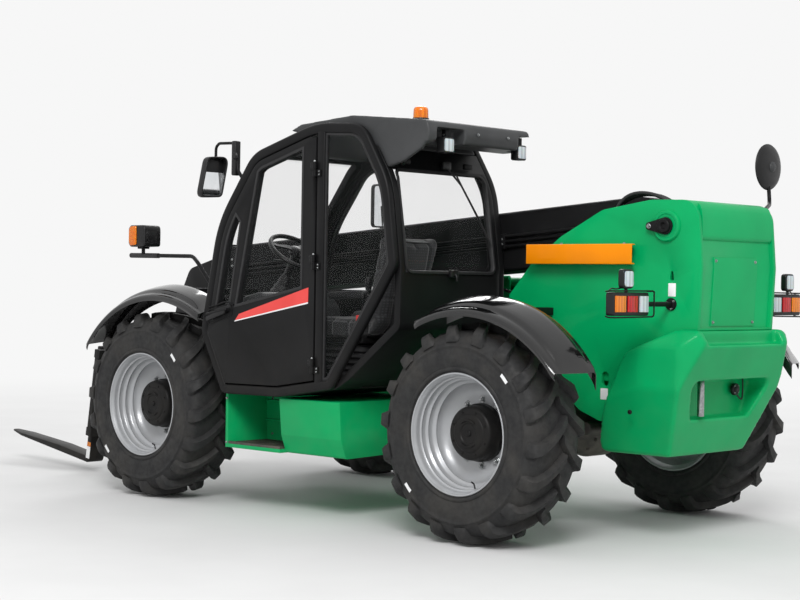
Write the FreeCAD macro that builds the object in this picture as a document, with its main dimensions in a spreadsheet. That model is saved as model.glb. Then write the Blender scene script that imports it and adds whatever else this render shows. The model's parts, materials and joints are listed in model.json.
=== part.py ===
import FreeCAD, Part
import math
import os
from FreeCAD import Placement, Rotation, Vector

# Telehandler: a wheeled carrier with a telescopic boom beside its cab.
# Machine axes: +X forward, +Y left, +Z up, millimetres, z = 0 on the ground.
# Shapes are drawn with x = 0 at the rear axle and set back by rear_axle_x at the end.

SIZES = (
    # alias, value, meaning
    ("rear_axle_x", -2044, "rear axle, from the origin"),
    ("running_gap", 0.3, "gap between seated pieces"),
    ("moving_gap", 8, "gap beside pieces that move"),
    # wheels, axles and steering
    ("wheelbase", 2700, "axle to axle"),
    ("track", 1980, "between wheel middle planes"),
    ("tyre_diameter", 1184, "over the lugs, loaded"),
    ("tyre_width", 420, "over the lug ends"),
    ("lug_height", 38, "tread lug"),
    ("lug_pairs", 18, "lugs on each half of the tread"),
    ("lug_lead", 168, "how far a lug runs round the tyre"),
    ("lug_thickness", 44, "lug at the tread middle"),
    ("bead_diameter", 610, "rim seat for the tyre"),
    ("rim_diameter", 660, "over the rim flanges"),
    ("rim_width", 384, "over the rim flanges"),
    ("rim_flange", 12, "flange thickness"),
    ("rim_plate", 9, "rim barrel thickness"),
    ("hub_diameter", 290, "planetary hub"),
    ("hub_stand", 100, "hub face outside the wheel middle"),
    ("disc_depth", 20, "wheel disc inside the wheel middle"),
    ("disc_plate", 18, "wheel disc thickness"),
    ("kingpin_inset", 190, "kingpin inside the wheel middle"),
    ("kingpin_housing", 200, "height of the knuckle between its ears"),
    ("knuckle_diameter", 124, "kingpin housing"),
    ("steer_lock", 32, "degrees each way"),
    ("spindle_diameter", 176, "spindle housing"),
    ("ear_thickness", 42, "axle yoke ear"),
    ("ear_width", 132, "axle yoke ear"),
    ("beam_diameter", 168, "axle tube"),
    ("diff_diameter", 372, "differential housing"),
    ("diff_width", 300, "differential housing"),
    # frame
    ("frame_width", 600, "over the side plates"),
    ("frame_plate", 25, "side plate thickness"),
    ("frame_floor", 440, "underside between the axles"),
    ("frame_arch", 806, "underside over the axles"),
    ("frame_top", 900, "top edge"),
    ("frame_front", 3200, "front end, from the rear axle"),
    # tower, counterweight
    ("tower_width", 740, "over the tower side plates"),
    ("tower_plate", 25, "tower plate thickness"),
    ("tower_rear", -970, "rear face"),
    ("tower_top", 1858, "top edge"),
    ("tower_rear_plate", 22, "rear plate thickness"),
    ("tower_recess", 18, "rear plate inside the side plates' edges"),
    ("ballast_floor", 480, "counterweight underside"),
    ("ballast_top", 1165, "counterweight top edge"),
    ("ballast_width", 840, "counterweight top edge, left to right"),
    ("ballast_flare", 80, "how far each cheek flares out"),
    ("hitch_width", 780, "hitch pocket"),
    ("hitch_depth", 150, "hitch pocket"),
    ("hitch_floor", 685, "hitch pocket underside"),
    ("hitch_roof", 895, "hitch pocket top"),
    ("hitch_pin_diameter", 38, "hitch pin"),
    ("hitch_pin_y", 215, "hitch pin"),
    # boom
    ("pivot_x", -760, "boom pivot, from the rear axle"),
    ("pivot_z", 1715, "boom pivot height"),
    ("pivot_pin", 80, "boom pivot pin diameter"),
    ("boom_slope", 4.35, "degrees nose down at rest"),
    ("boom_width", 300, "outer section"),
    ("boom_above", 205, "outer section top over the pivot"),
    ("boom_below", 145, "outer section underside below the pivot"),
    ("boom_wall", 12, "section walls"),
    ("boom_step", 28, "each section is smaller by this a side"),
    ("boom_length", 3870, "outer section end, from the pivot"),
    ("boom_tail", 150, "tail radius round the pivot"),
    ("section_stand", 90, "each section stands out by this"),
    ("section_start", 440, "rear end of the middle section"),
    ("pad_length", 80, "wear pads"),
    ("pipe_diameter", 20, "hydraulic pipes on the boom"),
    # boom head, carriage and forks
    ("tilt_x", 3885, "carriage pivot, from the rear axle"),
    ("tilt_z", 430, "carriage pivot height"),
    ("tilt_pin", 60, "carriage pivot pin diameter"),
    ("tilt_back", 9, "degrees the forks lean back at rest"),
    ("head_plate", 22, "boom head side plates"),
    ("carriage_width", 1240, "over the carriage bars"),
    ("carriage_bar", 60, "bar thickness and height"),
    ("carriage_top", 440, "top bar over the pivot"),
    ("carriage_bottom", -190, "bottom bar underside below the pivot"),
    ("carriage_plate", 30, "carriage ear plates"),
    ("fork_length", 1000, "blade, from the shank"),
    ("fork_width", 130, "blade"),
    ("fork_thickness", 45, "shank and blade root"),
    ("fork_heel", -402, "heel underside below the pivot"),
    ("fork_spread", 1000, "between blade middles"),
    # cylinders
    ("lift_base_x", -350, "lift cylinder base pin, from the rear axle"),
    ("lift_base_z", 960, "lift cylinder base pin"),
    ("lift_arm", 1900, "lift cylinder eye along the boom"),
    ("lift_drop", 225, "lift cylinder eye below the boom line"),
    ("lift_bore", 140, "lift cylinder barrel"),
    ("lift_rod", 80, "lift cylinder rod"),
    ("tilt_bore", 96, "tilt cylinder barrel"),
    ("tilt_rod", 50, "tilt cylinder rod"),
    ("tilt_arm_x", 45, "tilt cylinder eye before the carriage pivot"),
    ("tilt_arm_z", 370, "tilt cylinder eye over the carriage pivot"),
    ("tilt_base_x", -425, "tilt cylinder base from the carriage pivot"),
    ("tilt_base_z", 900, "tilt cylinder base over the carriage pivot"),
    # cab
    ("cab_left", 1150, "outer face of the door side"),
    ("cab_right", 215, "outer face of the boom side"),
    ("cab_wall", 46, "door and wall thickness"),
    ("cab_tube", 60, "side frame tube"),
    ("cab_floor", 700, "underside"),
    ("cab_knee_stand", 52, "foremost point of the side, ahead of the front tyre's rear edge"),
    ("cab_knee_z", 1075, "foremost point of the side"),
    ("cab_rear", 503, "rear window plane"),
    ("pillar_x", 1105, "middle of the post behind the door"),
    ("door_gap", 7, "gap round the door"),
    ("glass", 6, "pane thickness"),
    ("roof_cap", 2342, "top of the moulded roof"),
    ("roof_stand", 37, "moulded roof above the side frame"),
    ("roof_rear", 300, "rear edge of the moulded roof"),
    ("steering_wheel", 380, "steering wheel diameter"),
    # sides
    ("step_floor", 370, "underside of the left boxes"),
    ("box_rear", 970, "rear of the left box"),
    ("box_front", 1480, "front of the left box, rear of the step"),
    ("step_front", 1975, "front of the step"),
    ("side_width", 1100, "left box face from the middle plane"),
    ("bay_rear", 765, "engine bay rear"),
    ("bay_front", 1930, "engine bay front"),
    ("bay_floor", 500, "engine bay underside"),
    ("bay_side", 1150, "engine bay side from the middle plane"),
    ("hood_top", 1440, "engine hood top"),
    ("hood_split", 930, "lower edge of the hood side"),
    ("hood_plate", 30, "hood thickness"),
    ("fender_plate", 8, "fender thickness"),
    ("fender_outer", 1200, "outer edge from the middle plane"),
    ("fender_inner", 950, "inner edge from the middle plane"),
    ("lamp_height", 122, "rear lamp cluster"),
    ("lamp_width", 318, "rear lamp cluster"),
    ("prop_length", 730, "boom prop channel"),
    ("prop_height", 110, "boom prop channel"),
    ("prop_depth", 78, "boom prop channel"),
    ("beacon_diameter", 120, "beacon"),
)

doc = FreeCAD.newDocument("Telehandler")
sheet = doc.addObject("Spreadsheet::Sheet", "Sizes")
for row, (alias, value, meaning) in enumerate(SIZES, start=1):
    sheet.set(f"A{row}", meaning)
    sheet.set(f"B{row}", str(value))
    sheet.setAlias(f"B{row}", alias)
doc.recompute()

UP = Vector(0, 0, 1)
LEFT = Vector(0, 1, 0)
AHEAD = Vector(1, 0, 0)
nodes = []


def size(alias):
    return float(sheet.get(alias))


def keep(thing, name, x="0", y=None, z=None):
    """Make an object a node of the part, set back to the part's origin."""
    thing.Label = name
    thing.setExpression("Placement.Base.x", f"Sizes.rear_axle_x + ({x})")
    if y is not None:
        thing.setExpression("Placement.Base.y", y)
    if z is not None:
        thing.setExpression("Placement.Base.z", z)
    nodes.append(thing)


def solid_node(name, shape, **place):
    """A node whose shape comes from Part's own functions."""
    thing = doc.addObject("Part::Feature", name)
    thing.Shape = shape.removeSplitter()
    keep(thing, name, **place)
    return thing


# Drawing helpers.

def rounded(points):
    """Edges through (a, b, radius) corners in the XY plane, each corner a tangent arc."""
    corners = [Vector(a, b, 0) for a, b, _ in points]
    count = len(corners)
    cuts = []
    for i, corner in enumerate(corners):
        back = corners[i - 1] - corner
        ahead = corners[(i + 1) % count] - corner
        turn = math.pi - back.getAngle(ahead)
        reach = points[i][2] * math.tan(turn / 2)
        reach = min(reach, 0.49 * back.Length, 0.49 * ahead.Length)
        radius = reach / math.tan(turn / 2) if turn > 1e-6 else 0
        first = corner + back.normalize() * reach
        last = corner + ahead.normalize() * reach
        bisector = (back + ahead)
        if radius > 0.5 and bisector.Length > 1e-9:
            depth = radius * (1 / math.cos(turn / 2) - 1)
            cuts.append((first, corner + bisector.normalize() * depth, last))
        else:
            cuts.append((corner, None, corner))
    edges = []
    for i, (first, middle, last) in enumerate(cuts):
        if middle is not None:
            edges.append(Part.Arc(first, middle, last).toShape())
        start = cuts[(i + 1) % count][0]
        if last.distanceToPoint(start) > 1e-6:
            edges.append(Part.LineSegment(last, start).toShape())
    return Part.Wire(edges)


def inset(points, depth):
    """The outline moved inward by depth, its corner radii smaller by as much."""
    count = len(points)
    area = sum(points[i - 1][0] * points[i][1] - points[i][0] * points[i - 1][1]
               for i in range(count))
    side = depth if area > 0 else -depth
    moved = []
    for i, (a, b, radius) in enumerate(points):
        before = points[i - 1]
        after = points[(i + 1) % count]
        d1 = Vector(a - before[0], b - before[1], 0).normalize()
        d2 = Vector(after[0] - a, after[1] - b, 0).normalize()
        n1 = Vector(-d1.y, d1.x, 0)
        n2 = Vector(-d2.y, d2.x, 0)
        shift = (n1 + n2) * (side / (1 + n1.dot(n2)))
        moved.append((a + shift.x, b + shift.y, max(radius - depth, 0)))
    return moved


def plate(points, plane, start, end):
    """A flat plate with rounded corners: plane is xz, yz or xy, start and end its faces."""
    face = Part.Face(rounded(points))
    if plane == "xz":
        face.rotate(Vector(), AHEAD, 90)
        face.translate(Vector(0, start, 0))
        return face.extrude(Vector(0, end - start, 0))
    if plane == "yz":
        face.rotate(Vector(), Vector(1, 1, 1), 120)
        face.translate(Vector(start, 0, 0))
        return face.extrude(Vector(end - start, 0, 0))
    face.translate(Vector(0, 0, start))
    return face.extrude(Vector(0, 0, end - start))


def block(x0, x1, y0, y1, z0, z1):
    return Part.makeBox(x1 - x0, y1 - y0, z1 - z0, Vector(x0, y0, z0))


def rod(start, end, radius):
    way = end - start
    return Part.makeCylinder(radius, way.Length, start, way)


def bent_rod(points, radius):
    """A round bar through points, with a ball at each bend."""
    pieces = [rod(a, b, radius) for a, b in zip(points, points[1:])]
    pieces += [Part.makeSphere(radius, bend) for bend in points[1:-1]]
    return pieces[0].multiFuse(pieces[1:])


def across(shape):
    """The same piece on the other side of the machine."""
    return shape.mirror(Vector(), LEFT)


def both(shape):
    return Part.Compound([shape, across(shape)])


def joined(*pieces):
    return pieces[0].multiFuse(list(pieces[1:]))


def draw_body(name, points):
    """A body with one sketch of a closed outline of (a, b) points."""
    body = doc.addObject("PartDesign::Body", name)
    sketch = body.newObject("Sketcher::SketchObject", name + "_sketch")
    planes = {plane.Role: plane for plane in body.Origin.OriginFeatures}
    sketch.AttachmentSupport = [(planes["XY_Plane"], "")]
    sketch.MapMode = "FlatFace"
    ends = [Vector(a, b, 0) for a, b in points]
    for first, last in zip(ends, ends[1:] + ends[:1]):
        sketch.addGeometry(Part.LineSegment(first, last), False)
    return body, sketch


def revolved_body(name, points):
    """A body turned about its own Y axis from (radius, along) points."""
    body, sketch = draw_body(name, points)
    turned = body.newObject("PartDesign::Revolution", name + "_turned")
    turned.Profile = sketch
    turned.ReferenceAxis = (sketch, ["V_Axis"])
    turned.Angle = 360
    return body


def primitive(kind, name, at, turn=None, **sizes):
    """A primitive whose sizes and place follow the sheet."""
    thing = doc.addObject("Part::" + kind, name)
    thing.Placement = Placement(Vector(), turn or Rotation())
    for prop, expression in sizes.items():
        thing.setExpression(prop, expression)
    for axis, expression in zip("xyz", at):
        thing.setExpression("Placement.Base." + axis, str(expression))
    return thing


def fused(name, pieces):
    thing = doc.addObject("Part::MultiFuse", name)
    thing.Shapes = pieces
    thing.Refine = True
    return thing


# Driving values used by several pieces.

hub_z = size("tyre_diameter") / 2
half_track = size("track") / 2
kingpin_y = half_track - size("kingpin_inset")
gap = size("running_gap")
clear = size("moving_gap")
WHEELS = (
    # name, axle place, side, turn about Z that faces the wheel outwards
    ("front_left", "Sizes.wheelbase", 1, 0),
    ("front_right", "Sizes.wheelbase", -1, 180),
    ("rear_left", "0", 1, 0),
    ("rear_right", "0", -1, 180),
)


# Wheels: tyre with chevron lugs, rim with stepped dish and planetary hub.

def lug(middle_angle, hand):
    """One tread lug from the middle to a shoulder: a straight bar whose corners reach the full radius."""
    half = size("lug_thickness") / 2
    start = size("lug_lead") / 2
    inner_y = 8
    top = math.sqrt(hub_z ** 2 - (start + half) ** 2)
    low = hub_z - size("lug_height") - 48
    foot = half * 1.25
    section = [(start + half, top), (start - half, top), (start - foot, low), (start + foot, low)]
    corners = [Vector(along, inner_y * hand, high) for along, high in section]
    face = Part.Face(Part.makePolygon(corners + corners[:1]))
    bar = face.extrude(Vector(-2 * start, (size("tyre_width") / 2 - inner_y) * hand, 0))
    bar.rotate(Vector(), LEFT, math.degrees(middle_angle))
    return bar


def tyre_shape():
    """A many-sided carcass, one side to each pair of lugs, with the lugs fused on."""
    half = size("tyre_width") / 2
    bead = size("bead_diameter") / 2
    flange = size("rim_diameter") / 2
    crown = hub_z - size("lug_height")
    bead_y = size("rim_width") / 2 - size("rim_flange") - gap
    pairs = max(int(size("lug_pairs")), 3)
    pitch = 2 * math.pi / pairs
    # the corners lie outside the circle that the flat sides touch
    stretch = 1 / math.cos(pitch / 2)
    right = [
        # radius, half width
        ((bead + gap) * stretch, bead_y),
        (flange + 4, bead_y),
        (crown - 70, half - 2),
        (crown, half * 0.84),
    ]
    outline = [(r, y) for r, y in right] + [(r, -y) for r, y in reversed(right)]
    rings = []
    for i in range(pairs):
        angle = (i + 0.25) * pitch
        rings.append([Vector(r * math.sin(angle), y, r * math.cos(angle)) for r, y in outline])
    faces = []
    for i, ring in enumerate(rings):
        after = rings[(i + 1) % pairs]
        for j in range(len(ring)):
            k = (j + 1) % len(ring)
            corners = (ring[j], ring[k], after[k], after[j])
            faces.append(Part.Face(Part.makePolygon([*corners, corners[0]])))
    carcass = Part.Solid(Part.makeShell(faces))
    if carcass.Volume < 0:
        carcass.reverse()
    lugs = [lug(i * pitch, 1) for i in range(pairs)]
    lugs += [lug((i + 0.5) * pitch, -1) for i in range(pairs)]
    return carcass.multiFuse(lugs)


def rim_outline():
    """Half section of rim and hub: radius and place along the axle, outwards."""
    flange = size("rim_diameter") / 2
    seat = size("bead_diameter") / 2
    edge = size("rim_width") / 2
    lip = size("rim_flange")
    wall = size("rim_plate")
    hub = size("hub_diameter") / 2
    face = size("hub_stand")
    disc = -size("disc_depth")
    back = disc - size("disc_plate")
    return [
        (0, back), (hub * 0.9, back), (seat - 42, back), (seat - 34, back - 20), (seat - 34, -edge + 62),
        (seat - wall, -edge + 40), (seat - wall, -edge), (flange, -edge), (flange, -edge + lip),
        (seat, -edge + lip), (seat, -edge + 60), (seat - 22, -edge + 84), (seat - 22, edge - 84),
        (seat, edge - 60), (seat, edge - lip), (flange, edge - lip), (flange, edge),
        (flange - 12, edge), (seat - wall, edge - lip + 2), (seat - wall, edge - 48), (seat - 22, edge - 64),
        (seat - 26, edge - 96), (seat - 36, edge - 106), (seat - 36, edge - 150),
        (seat - 52, disc), (hub, disc), (hub, face - 40), (hub - 10, face - 30), (hub - 10, face),
        (hub * 0.5, face), (hub * 0.46, face + 12), (0, face + 12),
    ]


tread = tyre_shape()
for name, axle_x, side, turn in WHEELS:
    place_y = f"Sizes.track / 2 * {side}"
    place_z = "Sizes.tyre_diameter / 2"
    tyre = doc.addObject("Part::Feature", "tyre_" + name)
    tyre.Shape = tread if side > 0 else tread.mirror(Vector(), LEFT)
    keep(tyre, "tyre_" + name, axle_x, place_y, place_z)
    rim = revolved_body("rim_" + name, rim_outline())
    rim.Placement = Placement(Vector(), Rotation(UP, turn))
    keep(rim, "rim_" + name, axle_x, place_y, place_z)


# Steering knuckles: kingpin housing, spindle housing and steering arm.

TO_Y = Rotation(AHEAD, -90)
for name, axle_x, side, turn in WHEELS:
    tag = "knuckle_" + name
    rise = "Sizes.tyre_diameter / 2"
    pin_y = f"(Sizes.track / 2 - Sizes.kingpin_inset) * {side}"
    housing = primitive("Cylinder", tag + "_housing",
                        (axle_x, pin_y, rise + " - Sizes.kingpin_housing / 2"),
                        Radius="Sizes.knuckle_diameter / 2", Height="Sizes.kingpin_housing")
    reach = "Sizes.kingpin_inset - Sizes.disc_depth - Sizes.disc_plate - Sizes.running_gap"
    spindle = primitive("Cylinder", tag + "_spindle", (axle_x, pin_y, rise),
                        Rotation(AHEAD, -90 * side),
                        Radius="Sizes.spindle_diameter / 2", Height=reach)
    arm = primitive("Box", tag + "_arm",
                    (axle_x + " - 190", f"{pin_y} - 22", rise + " - Sizes.kingpin_housing / 2 + 2"),
                    Length="190", Width="44", Height="30")
    keep(fused(tag, [housing, spindle, arm]), tag)


# Axles: tube, differential, end yokes, steering cylinder and frame saddles.

def axle_shape(centre_x):
    beam = size("beam_diameter") / 2
    diff = size("diff_diameter") / 2
    half_diff = size("diff_width") / 2
    end = kingpin_y - size("knuckle_diameter") / 2 - clear
    ear = size("ear_thickness")
    ear_z = size("kingpin_housing") / 2 + gap
    outline = [
        # radius, half length
        (diff, half_diff * 0.45), (diff * 0.86, half_diff), (beam * 1.25, half_diff + 90),
        (beam, half_diff + 150), (beam, end),
    ]
    corners = [Vector(0, y, r) for r, y in outline]
    corners += [Vector(0, end, 0), Vector(0, -end, 0)]
    corners += [Vector(0, -y, r) for r, y in reversed(outline)]
    tube = Part.Face(Part.makePolygon(corners + corners[:1])).revolve(Vector(), LEFT, 360)
    pieces = []
    half_ear = size("ear_width") / 2
    for side in (1, -1):
        for level in (ear_z, -ear_z - ear):
            tip = Part.makeCylinder(half_ear, ear, Vector(0, side * kingpin_y, level))
            root_y = sorted((side * (end - 60), side * kingpin_y))
            pieces += [tip, block(-half_ear, half_ear, *root_y, level, level + ear)]
        post_y = sorted((side * (end - 60), side * end))
        pieces.append(block(-half_ear + 14, half_ear - 14, *post_y, -ear_z - ear, ear_z + ear))
        saddle_y = sorted((side * (size("frame_width") / 2 - 90), side * size("frame_width") / 2))
        pieces.append(block(-70, 70, *saddle_y, 0, size("frame_arch") - hub_z - gap))
    ram = rod(Vector(-180, -300, 0), Vector(-180, 300, 0), 38)
    pieces += [ram, block(-185, -60, -120, -80, -30, 30), block(-185, -60, 80, 120, -30, 30)]
    whole = tube.multiFuse(pieces)
    whole.translate(Vector(centre_x, 0, hub_z))
    return whole


solid_node("axle_rear", axle_shape(0))
solid_node("axle_front", axle_shape(size("wheelbase")))


# Frame: two arched side plates, floor, cross members and the lift cylinder lugs.

def frame_shape():
    half = size("frame_width") / 2
    wall = size("frame_plate")
    floor = size("frame_floor")
    arch = size("frame_arch")
    top = size("frame_top")
    front = size("frame_front")
    base = size("wheelbase")
    seat_z = size("cab_floor") - gap
    side = [
        (-480, arch, 20), (-480, 1040, 30), (-150, 1040, 60), (60, top, 60), (600, top, 60),
        (760, seat_z, 60), (base - 480, seat_z, 60), (base - 340, top, 60), (base + 200, top, 80),
        (front, top - 90, 50), (front, 560, 40), (base + 330, 560, 30), (base + 240, arch, 40),
        (base - 260, arch, 40), (base - 360, floor, 60), (360, floor, 60), (260, arch, 40),
    ]
    pieces = [plate(side, "xz", half - wall, half), plate(side, "xz", -half, -half + wall)]
    inner = half - wall
    pieces.append(block(340, base - 340, -inner, inner, floor, floor + 16))
    pieces.append(block(front - 40, front, -inner, inner, 580, top - 110))
    pieces.append(block(base - 230, base + 215, -inner, inner, arch, arch + 20))
    pieces.append(block(-470, 240, -inner, inner, arch + 20, arch + 50))
    pieces.append(block(1180, 1220, -inner, inner, floor + 10, seat_z - 40))
    tower_inner = size("tower_width") / 2 - size("tower_plate")
    spacer = block(-450, -100, half - 5, tower_inner, 870, 1000)
    pieces += [spacer, across(spacer)]
    pin = Vector(size("lift_base_x"), 0, size("lift_base_z"))
    for y0 in (-90, 62):
        ear = block(pin.x - 62, pin.x + 62, y0, y0 + 28, arch + 40, pin.z)
        pieces += [ear, Part.makeCylinder(62, 28, Vector(pin.x, y0, pin.z), LEFT)]
    whole = pieces[0].multiFuse(pieces[1:])
    bore = Part.makeCylinder(30 + gap, 300, Vector(pin.x, -150, pin.z), LEFT)
    return whole.cut(bore)


solid_node("main_frame", frame_shape())


# Tower: the green side plates that carry the boom pivot, closed at the rear.

def tower_outline():
    rear = size("tower_rear")
    top = size("tower_top")
    return [
        (330, 1330, 25), (160, 1520, 60), (-40, 1664, 80), (-330, top - 48, 120), (-650, top, 300),
        (rear + 20, top - 6, 110), (rear - 8, 1500, 0), (rear + 10, size("ballast_top"), 0),
        (rear + 170, size("ballast_top") - 150, 0), (rear + 190, 655, 40), (-330, 648, 60),
        (-190, 700, 80), (300, 1120, 120),
    ]


TOWER_SLOTS = (
    # cut-outs of both side plates, x, z and corner radius
    ((-390, 921, 24), (-342, 921, 24), (-342, 841, 24), (-390, 841, 24)),
    ((-800, 1474, 4), (-786, 1474, 4), (-778, 1424, 12), (-808, 1424, 12)),
)


def tower_shape():
    half = size("tower_width") / 2
    wall = size("tower_plate")
    recess = size("tower_recess")
    rear = size("tower_rear") + size("tower_rear_plate") + recess
    top = size("tower_top")
    whole = plate(tower_outline(), "xz", -half, half)
    back = size("tower_rear") + recess
    high = size("ballast_top") + 10
    hollow_back = [(back - 120, high, 0), (back + 10, high, 0), (back - 8, 1500, 0), (back + 14, top - 50, 0),
                   (back - 120, top - 50, 0)]
    whole = whole.cut(plate(hollow_back, "xz", -half + wall, half - wall))
    inside = [
        (rear + 190, 500, 0), (rear + 170, size("ballast_top") - 150, 0), (rear + 16, size("ballast_top"), 0),
        (rear, 1500, 0), (rear + 18, top - 30, 70),
        (rear + 68, top - 18, 0), (rear + 68, top + 200, 0), (1000, top + 200, 0), (1000, 500, 0),
    ]
    whole = whole.cut(plate(inside, "xz", -half + wall, half - wall))
    pivot = Vector(size("pivot_x"), 0, size("pivot_z"))
    ring = Part.makeCylinder(78, wall + 16, Vector(pivot.x, half - wall, pivot.z), LEFT)
    whole = whole.multiFuse([ring, across(ring)])
    for outline in TOWER_SLOTS:
        whole = whole.cut(plate(outline, "xz", -half - 1, half + 1))
    bore = Part.makeCylinder(size("pivot_pin") / 2 + gap, 3 * half, pivot - LEFT * 1.5 * half, LEFT)
    return whole.cut(bore)


tower = tower_shape()
solid_node("tower", tower)


def pivot_pin_shape():
    half = size("tower_width") / 2
    reach = half + 16 + gap
    pivot = Vector(size("pivot_x"), 0, size("pivot_z"))
    pin = rod(pivot - LEFT * reach, pivot + LEFT * reach, size("pivot_pin") / 2)
    clip = [(pivot.x - 44, pivot.z - 44, 44), (pivot.x - 44, pivot.z + 44, 44),
            (pivot.x + 104, pivot.z + 24, 24), (pivot.x + 104, pivot.z - 24, 24)]
    cap = plate(clip, "xz", reach, reach + 12)
    return joined(pin, cap, across(cap))


solid_node("boom_pivot_pin", pivot_pin_shape())


# Counterweight: cast block with flared cheeks and a hitch pocket.

def ballast_shape():
    half = size("ballast_width") / 2
    low = size("ballast_floor")
    high = size("ballast_top")
    wide = half + size("ballast_flare")
    rear = size("tower_rear")
    side = [
        (rear - 25, high, 15), (rear - 70, high - 70, 40), (rear + 35, 850, 200), (rear + 180, low, 25),
        (-325, low, 40), (-400, 700, 60), (-575, 1035, 50), (-750, 1112, 60), (-860, high, 60),
    ]
    back = [
        (half, high, 30), (wide, high - 80, 60), (wide, 850, 120), (half - 55, low, 30),
    ]
    back += [(-y, z, radius) for y, z, radius in reversed(back)]
    plan = [(rear - 80, half - 20, 80), (rear + 36, wide + 4, 120), (-700, wide + 4, 0), (-325, wide - 46, 0)]
    plan += [(x, -y, radius) for x, y, radius in reversed(plan)]
    whole = plate(side, "xz", -900, 900)
    whole = whole.common(plate(back, "yz", -1300, -300)).common(plate(plan, "xy", 400, 1300))
    tower_half = size("tower_width") / 2
    whole = whole.cut(plate(tower_outline(), "xz", -tower_half, tower_half))
    pocket_half = size("hitch_width") / 2
    roof = size("hitch_roof")
    floor = size("hitch_floor")
    pocket = [(-pocket_half, roof, 40), (pocket_half, roof, 40), (pocket_half - 105, floor, 40),
              (-pocket_half + 105, floor, 40)]
    return whole.cut(plate(pocket, "yz", -1300, rear + 40 + size("hitch_depth") - 25))


solid_node("counterweight", ballast_shape())


# Boom: three box sections, drawn along u from the pivot and v above it, then set at rest slope.

def on_boom(shape):
    shape.rotate(Vector(), LEFT, size("boom_slope"))
    shape.translate(Vector(size("pivot_x"), 0, size("pivot_z")))
    return shape


def boom_point(u, v):
    slope = math.radians(size("boom_slope"))
    return Vector(size("pivot_x") + u * math.cos(slope) + v * math.sin(slope), 0,
                  size("pivot_z") - u * math.sin(slope) + v * math.cos(slope))


def to_boom(x, z):
    slope = math.radians(size("boom_slope"))
    dx = x - size("pivot_x")
    dz = z - size("pivot_z")
    return dx * math.cos(slope) - dz * math.sin(slope), dx * math.sin(slope) + dz * math.cos(slope)


def section_sizes(stage):
    """Half width, underside and top of a section: 0 outer, 1 middle, 2 inner."""
    less = stage * size("boom_step")
    return size("boom_width") / 2 - less, -size("boom_below") + less, size("boom_above") - less


def section_ends(stage):
    start = size("section_start") + (stage - 1) * 70
    end = size("boom_length") + stage * size("section_stand")
    return start, end


def hollow(stage, start, end):
    half, low, high = section_sizes(stage)
    wall = size("boom_wall")
    outer = plate([(-half, low, 18), (half, low, 18), (half, high, 18), (-half, high, 18)], "yz", start, end)
    inner = block(start - 1, end + 1, -half + wall, half - wall, low + wall, high - wall)
    return outer.cut(inner)


def pads(stage, start, inside):
    """Four wear pads between a section and the one round it, on the wall that carries them."""
    half_in, low_in, high_in = section_sizes(stage)
    half_out, low_out, high_out = section_sizes(stage - 1)
    wall = size("boom_wall")
    slack = gap + 0.1
    if inside:
        near, far = slack, size("boom_step") - wall
    else:
        near, far = 0, size("boom_step") - wall - slack
    end = start + size("pad_length")
    return [
        block(start, end, -half_in * 0.7, half_in * 0.7, high_in + near, high_in + far),
        block(start, end, -half_in * 0.7, half_in * 0.7, low_in - far, low_in - near),
        block(start, end, half_in + near, half_in + far, low_in + 40, high_in - 40),
        block(start, end, -half_in - far, -half_in - near, low_in + 40, high_in - 40),
    ]


def boom_outer_shape():
    half, low, high = section_sizes(0)
    end = size("boom_length")
    tail = size("boom_tail")
    solid_to = 380
    tube = hollow(0, solid_to, end)
    root = plate([(-40, low + 10, 60), (solid_to, low, 0), (solid_to, high, 0), (340, high, 40),
                  (40, tail - 10, 100), (-100, 90, 60), (-120, -60, 60)], "xz", -half, half)
    knuckle = Part.makeCylinder(tail * 0.72, 2 * half, Vector(0, -half, 0), LEFT)
    sleeve_reach = size("tower_width") / 2 - size("tower_plate") - gap
    bore = Part.makeCylinder(size("pivot_pin") / 2 + gap, 4 * sleeve_reach,
                             Vector(0, -2 * sleeve_reach, 0), LEFT)
    sleeve = Part.makeCylinder(70, 2 * sleeve_reach, Vector(0, -sleeve_reach, 0), LEFT)
    arm = size("lift_arm")
    drop = size("lift_drop")
    pieces = [root, knuckle, sleeve]
    for y0 in (-90, 62):
        pieces.append(plate([(arm - 190, low, 0), (arm + 190, low, 0), (arm + 60, -drop - 60, 60),
                             (arm - 60, -drop - 60, 60)], "xz", y0, y0 + 28))
    collar = pads(1, end - size("pad_length"), True)
    front = plate([(-half - 14, low - 14, 20), (half + 14, low - 14, 20), (half + 14, high + 14, 20),
                   (-half - 14, high + 14, 20)], "yz", end - 60, end)
    front = front.cut(block(end - 100, end + 10, -half + 1, half - 1, low + 1, high - 1))
    whole = tube.multiFuse(pieces + collar + [front])
    pin_hole = Part.makeCylinder(30 + gap, 400, Vector(arm, -200, -drop), LEFT)
    return on_boom(whole.cut(bore).cut(pin_hole))


def boom_middle_shape():
    start, end = section_ends(1)
    tube = hollow(1, start, end)
    return on_boom(tube.multiFuse(pads(1, start, False) + pads(2, end - size("pad_length"), True)))


def head_points():
    """Side outline of the boom head in boom coordinates, from places on the machine."""
    half, low, high = section_sizes(2)
    start, end = section_ends(2)
    tilt_x = size("tilt_x")
    tilt_z = size("tilt_z")
    world = [
        # x, z on the machine, corner radius
        (tilt_x - 190, tilt_z + 790, 160), (tilt_x - 40, tilt_z + 300, 120), (tilt_x + 62, tilt_z + 40, 60),
        (tilt_x + 50, tilt_z - 72, 60), (tilt_x - 72, tilt_z - 60, 70), (tilt_x - 215, tilt_z + 320, 160),
        (tilt_x - 420, tilt_z + 720, 160),
    ]
    outline = [(end - 60, high, 0)]
    outline.append((*to_boom(tilt_x - 330, tilt_z + 1045), 90))
    outline += [(*to_boom(x, z), radius) for x, z, radius in world]
    outline.append((end - 60, low, 0))
    return outline


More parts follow.
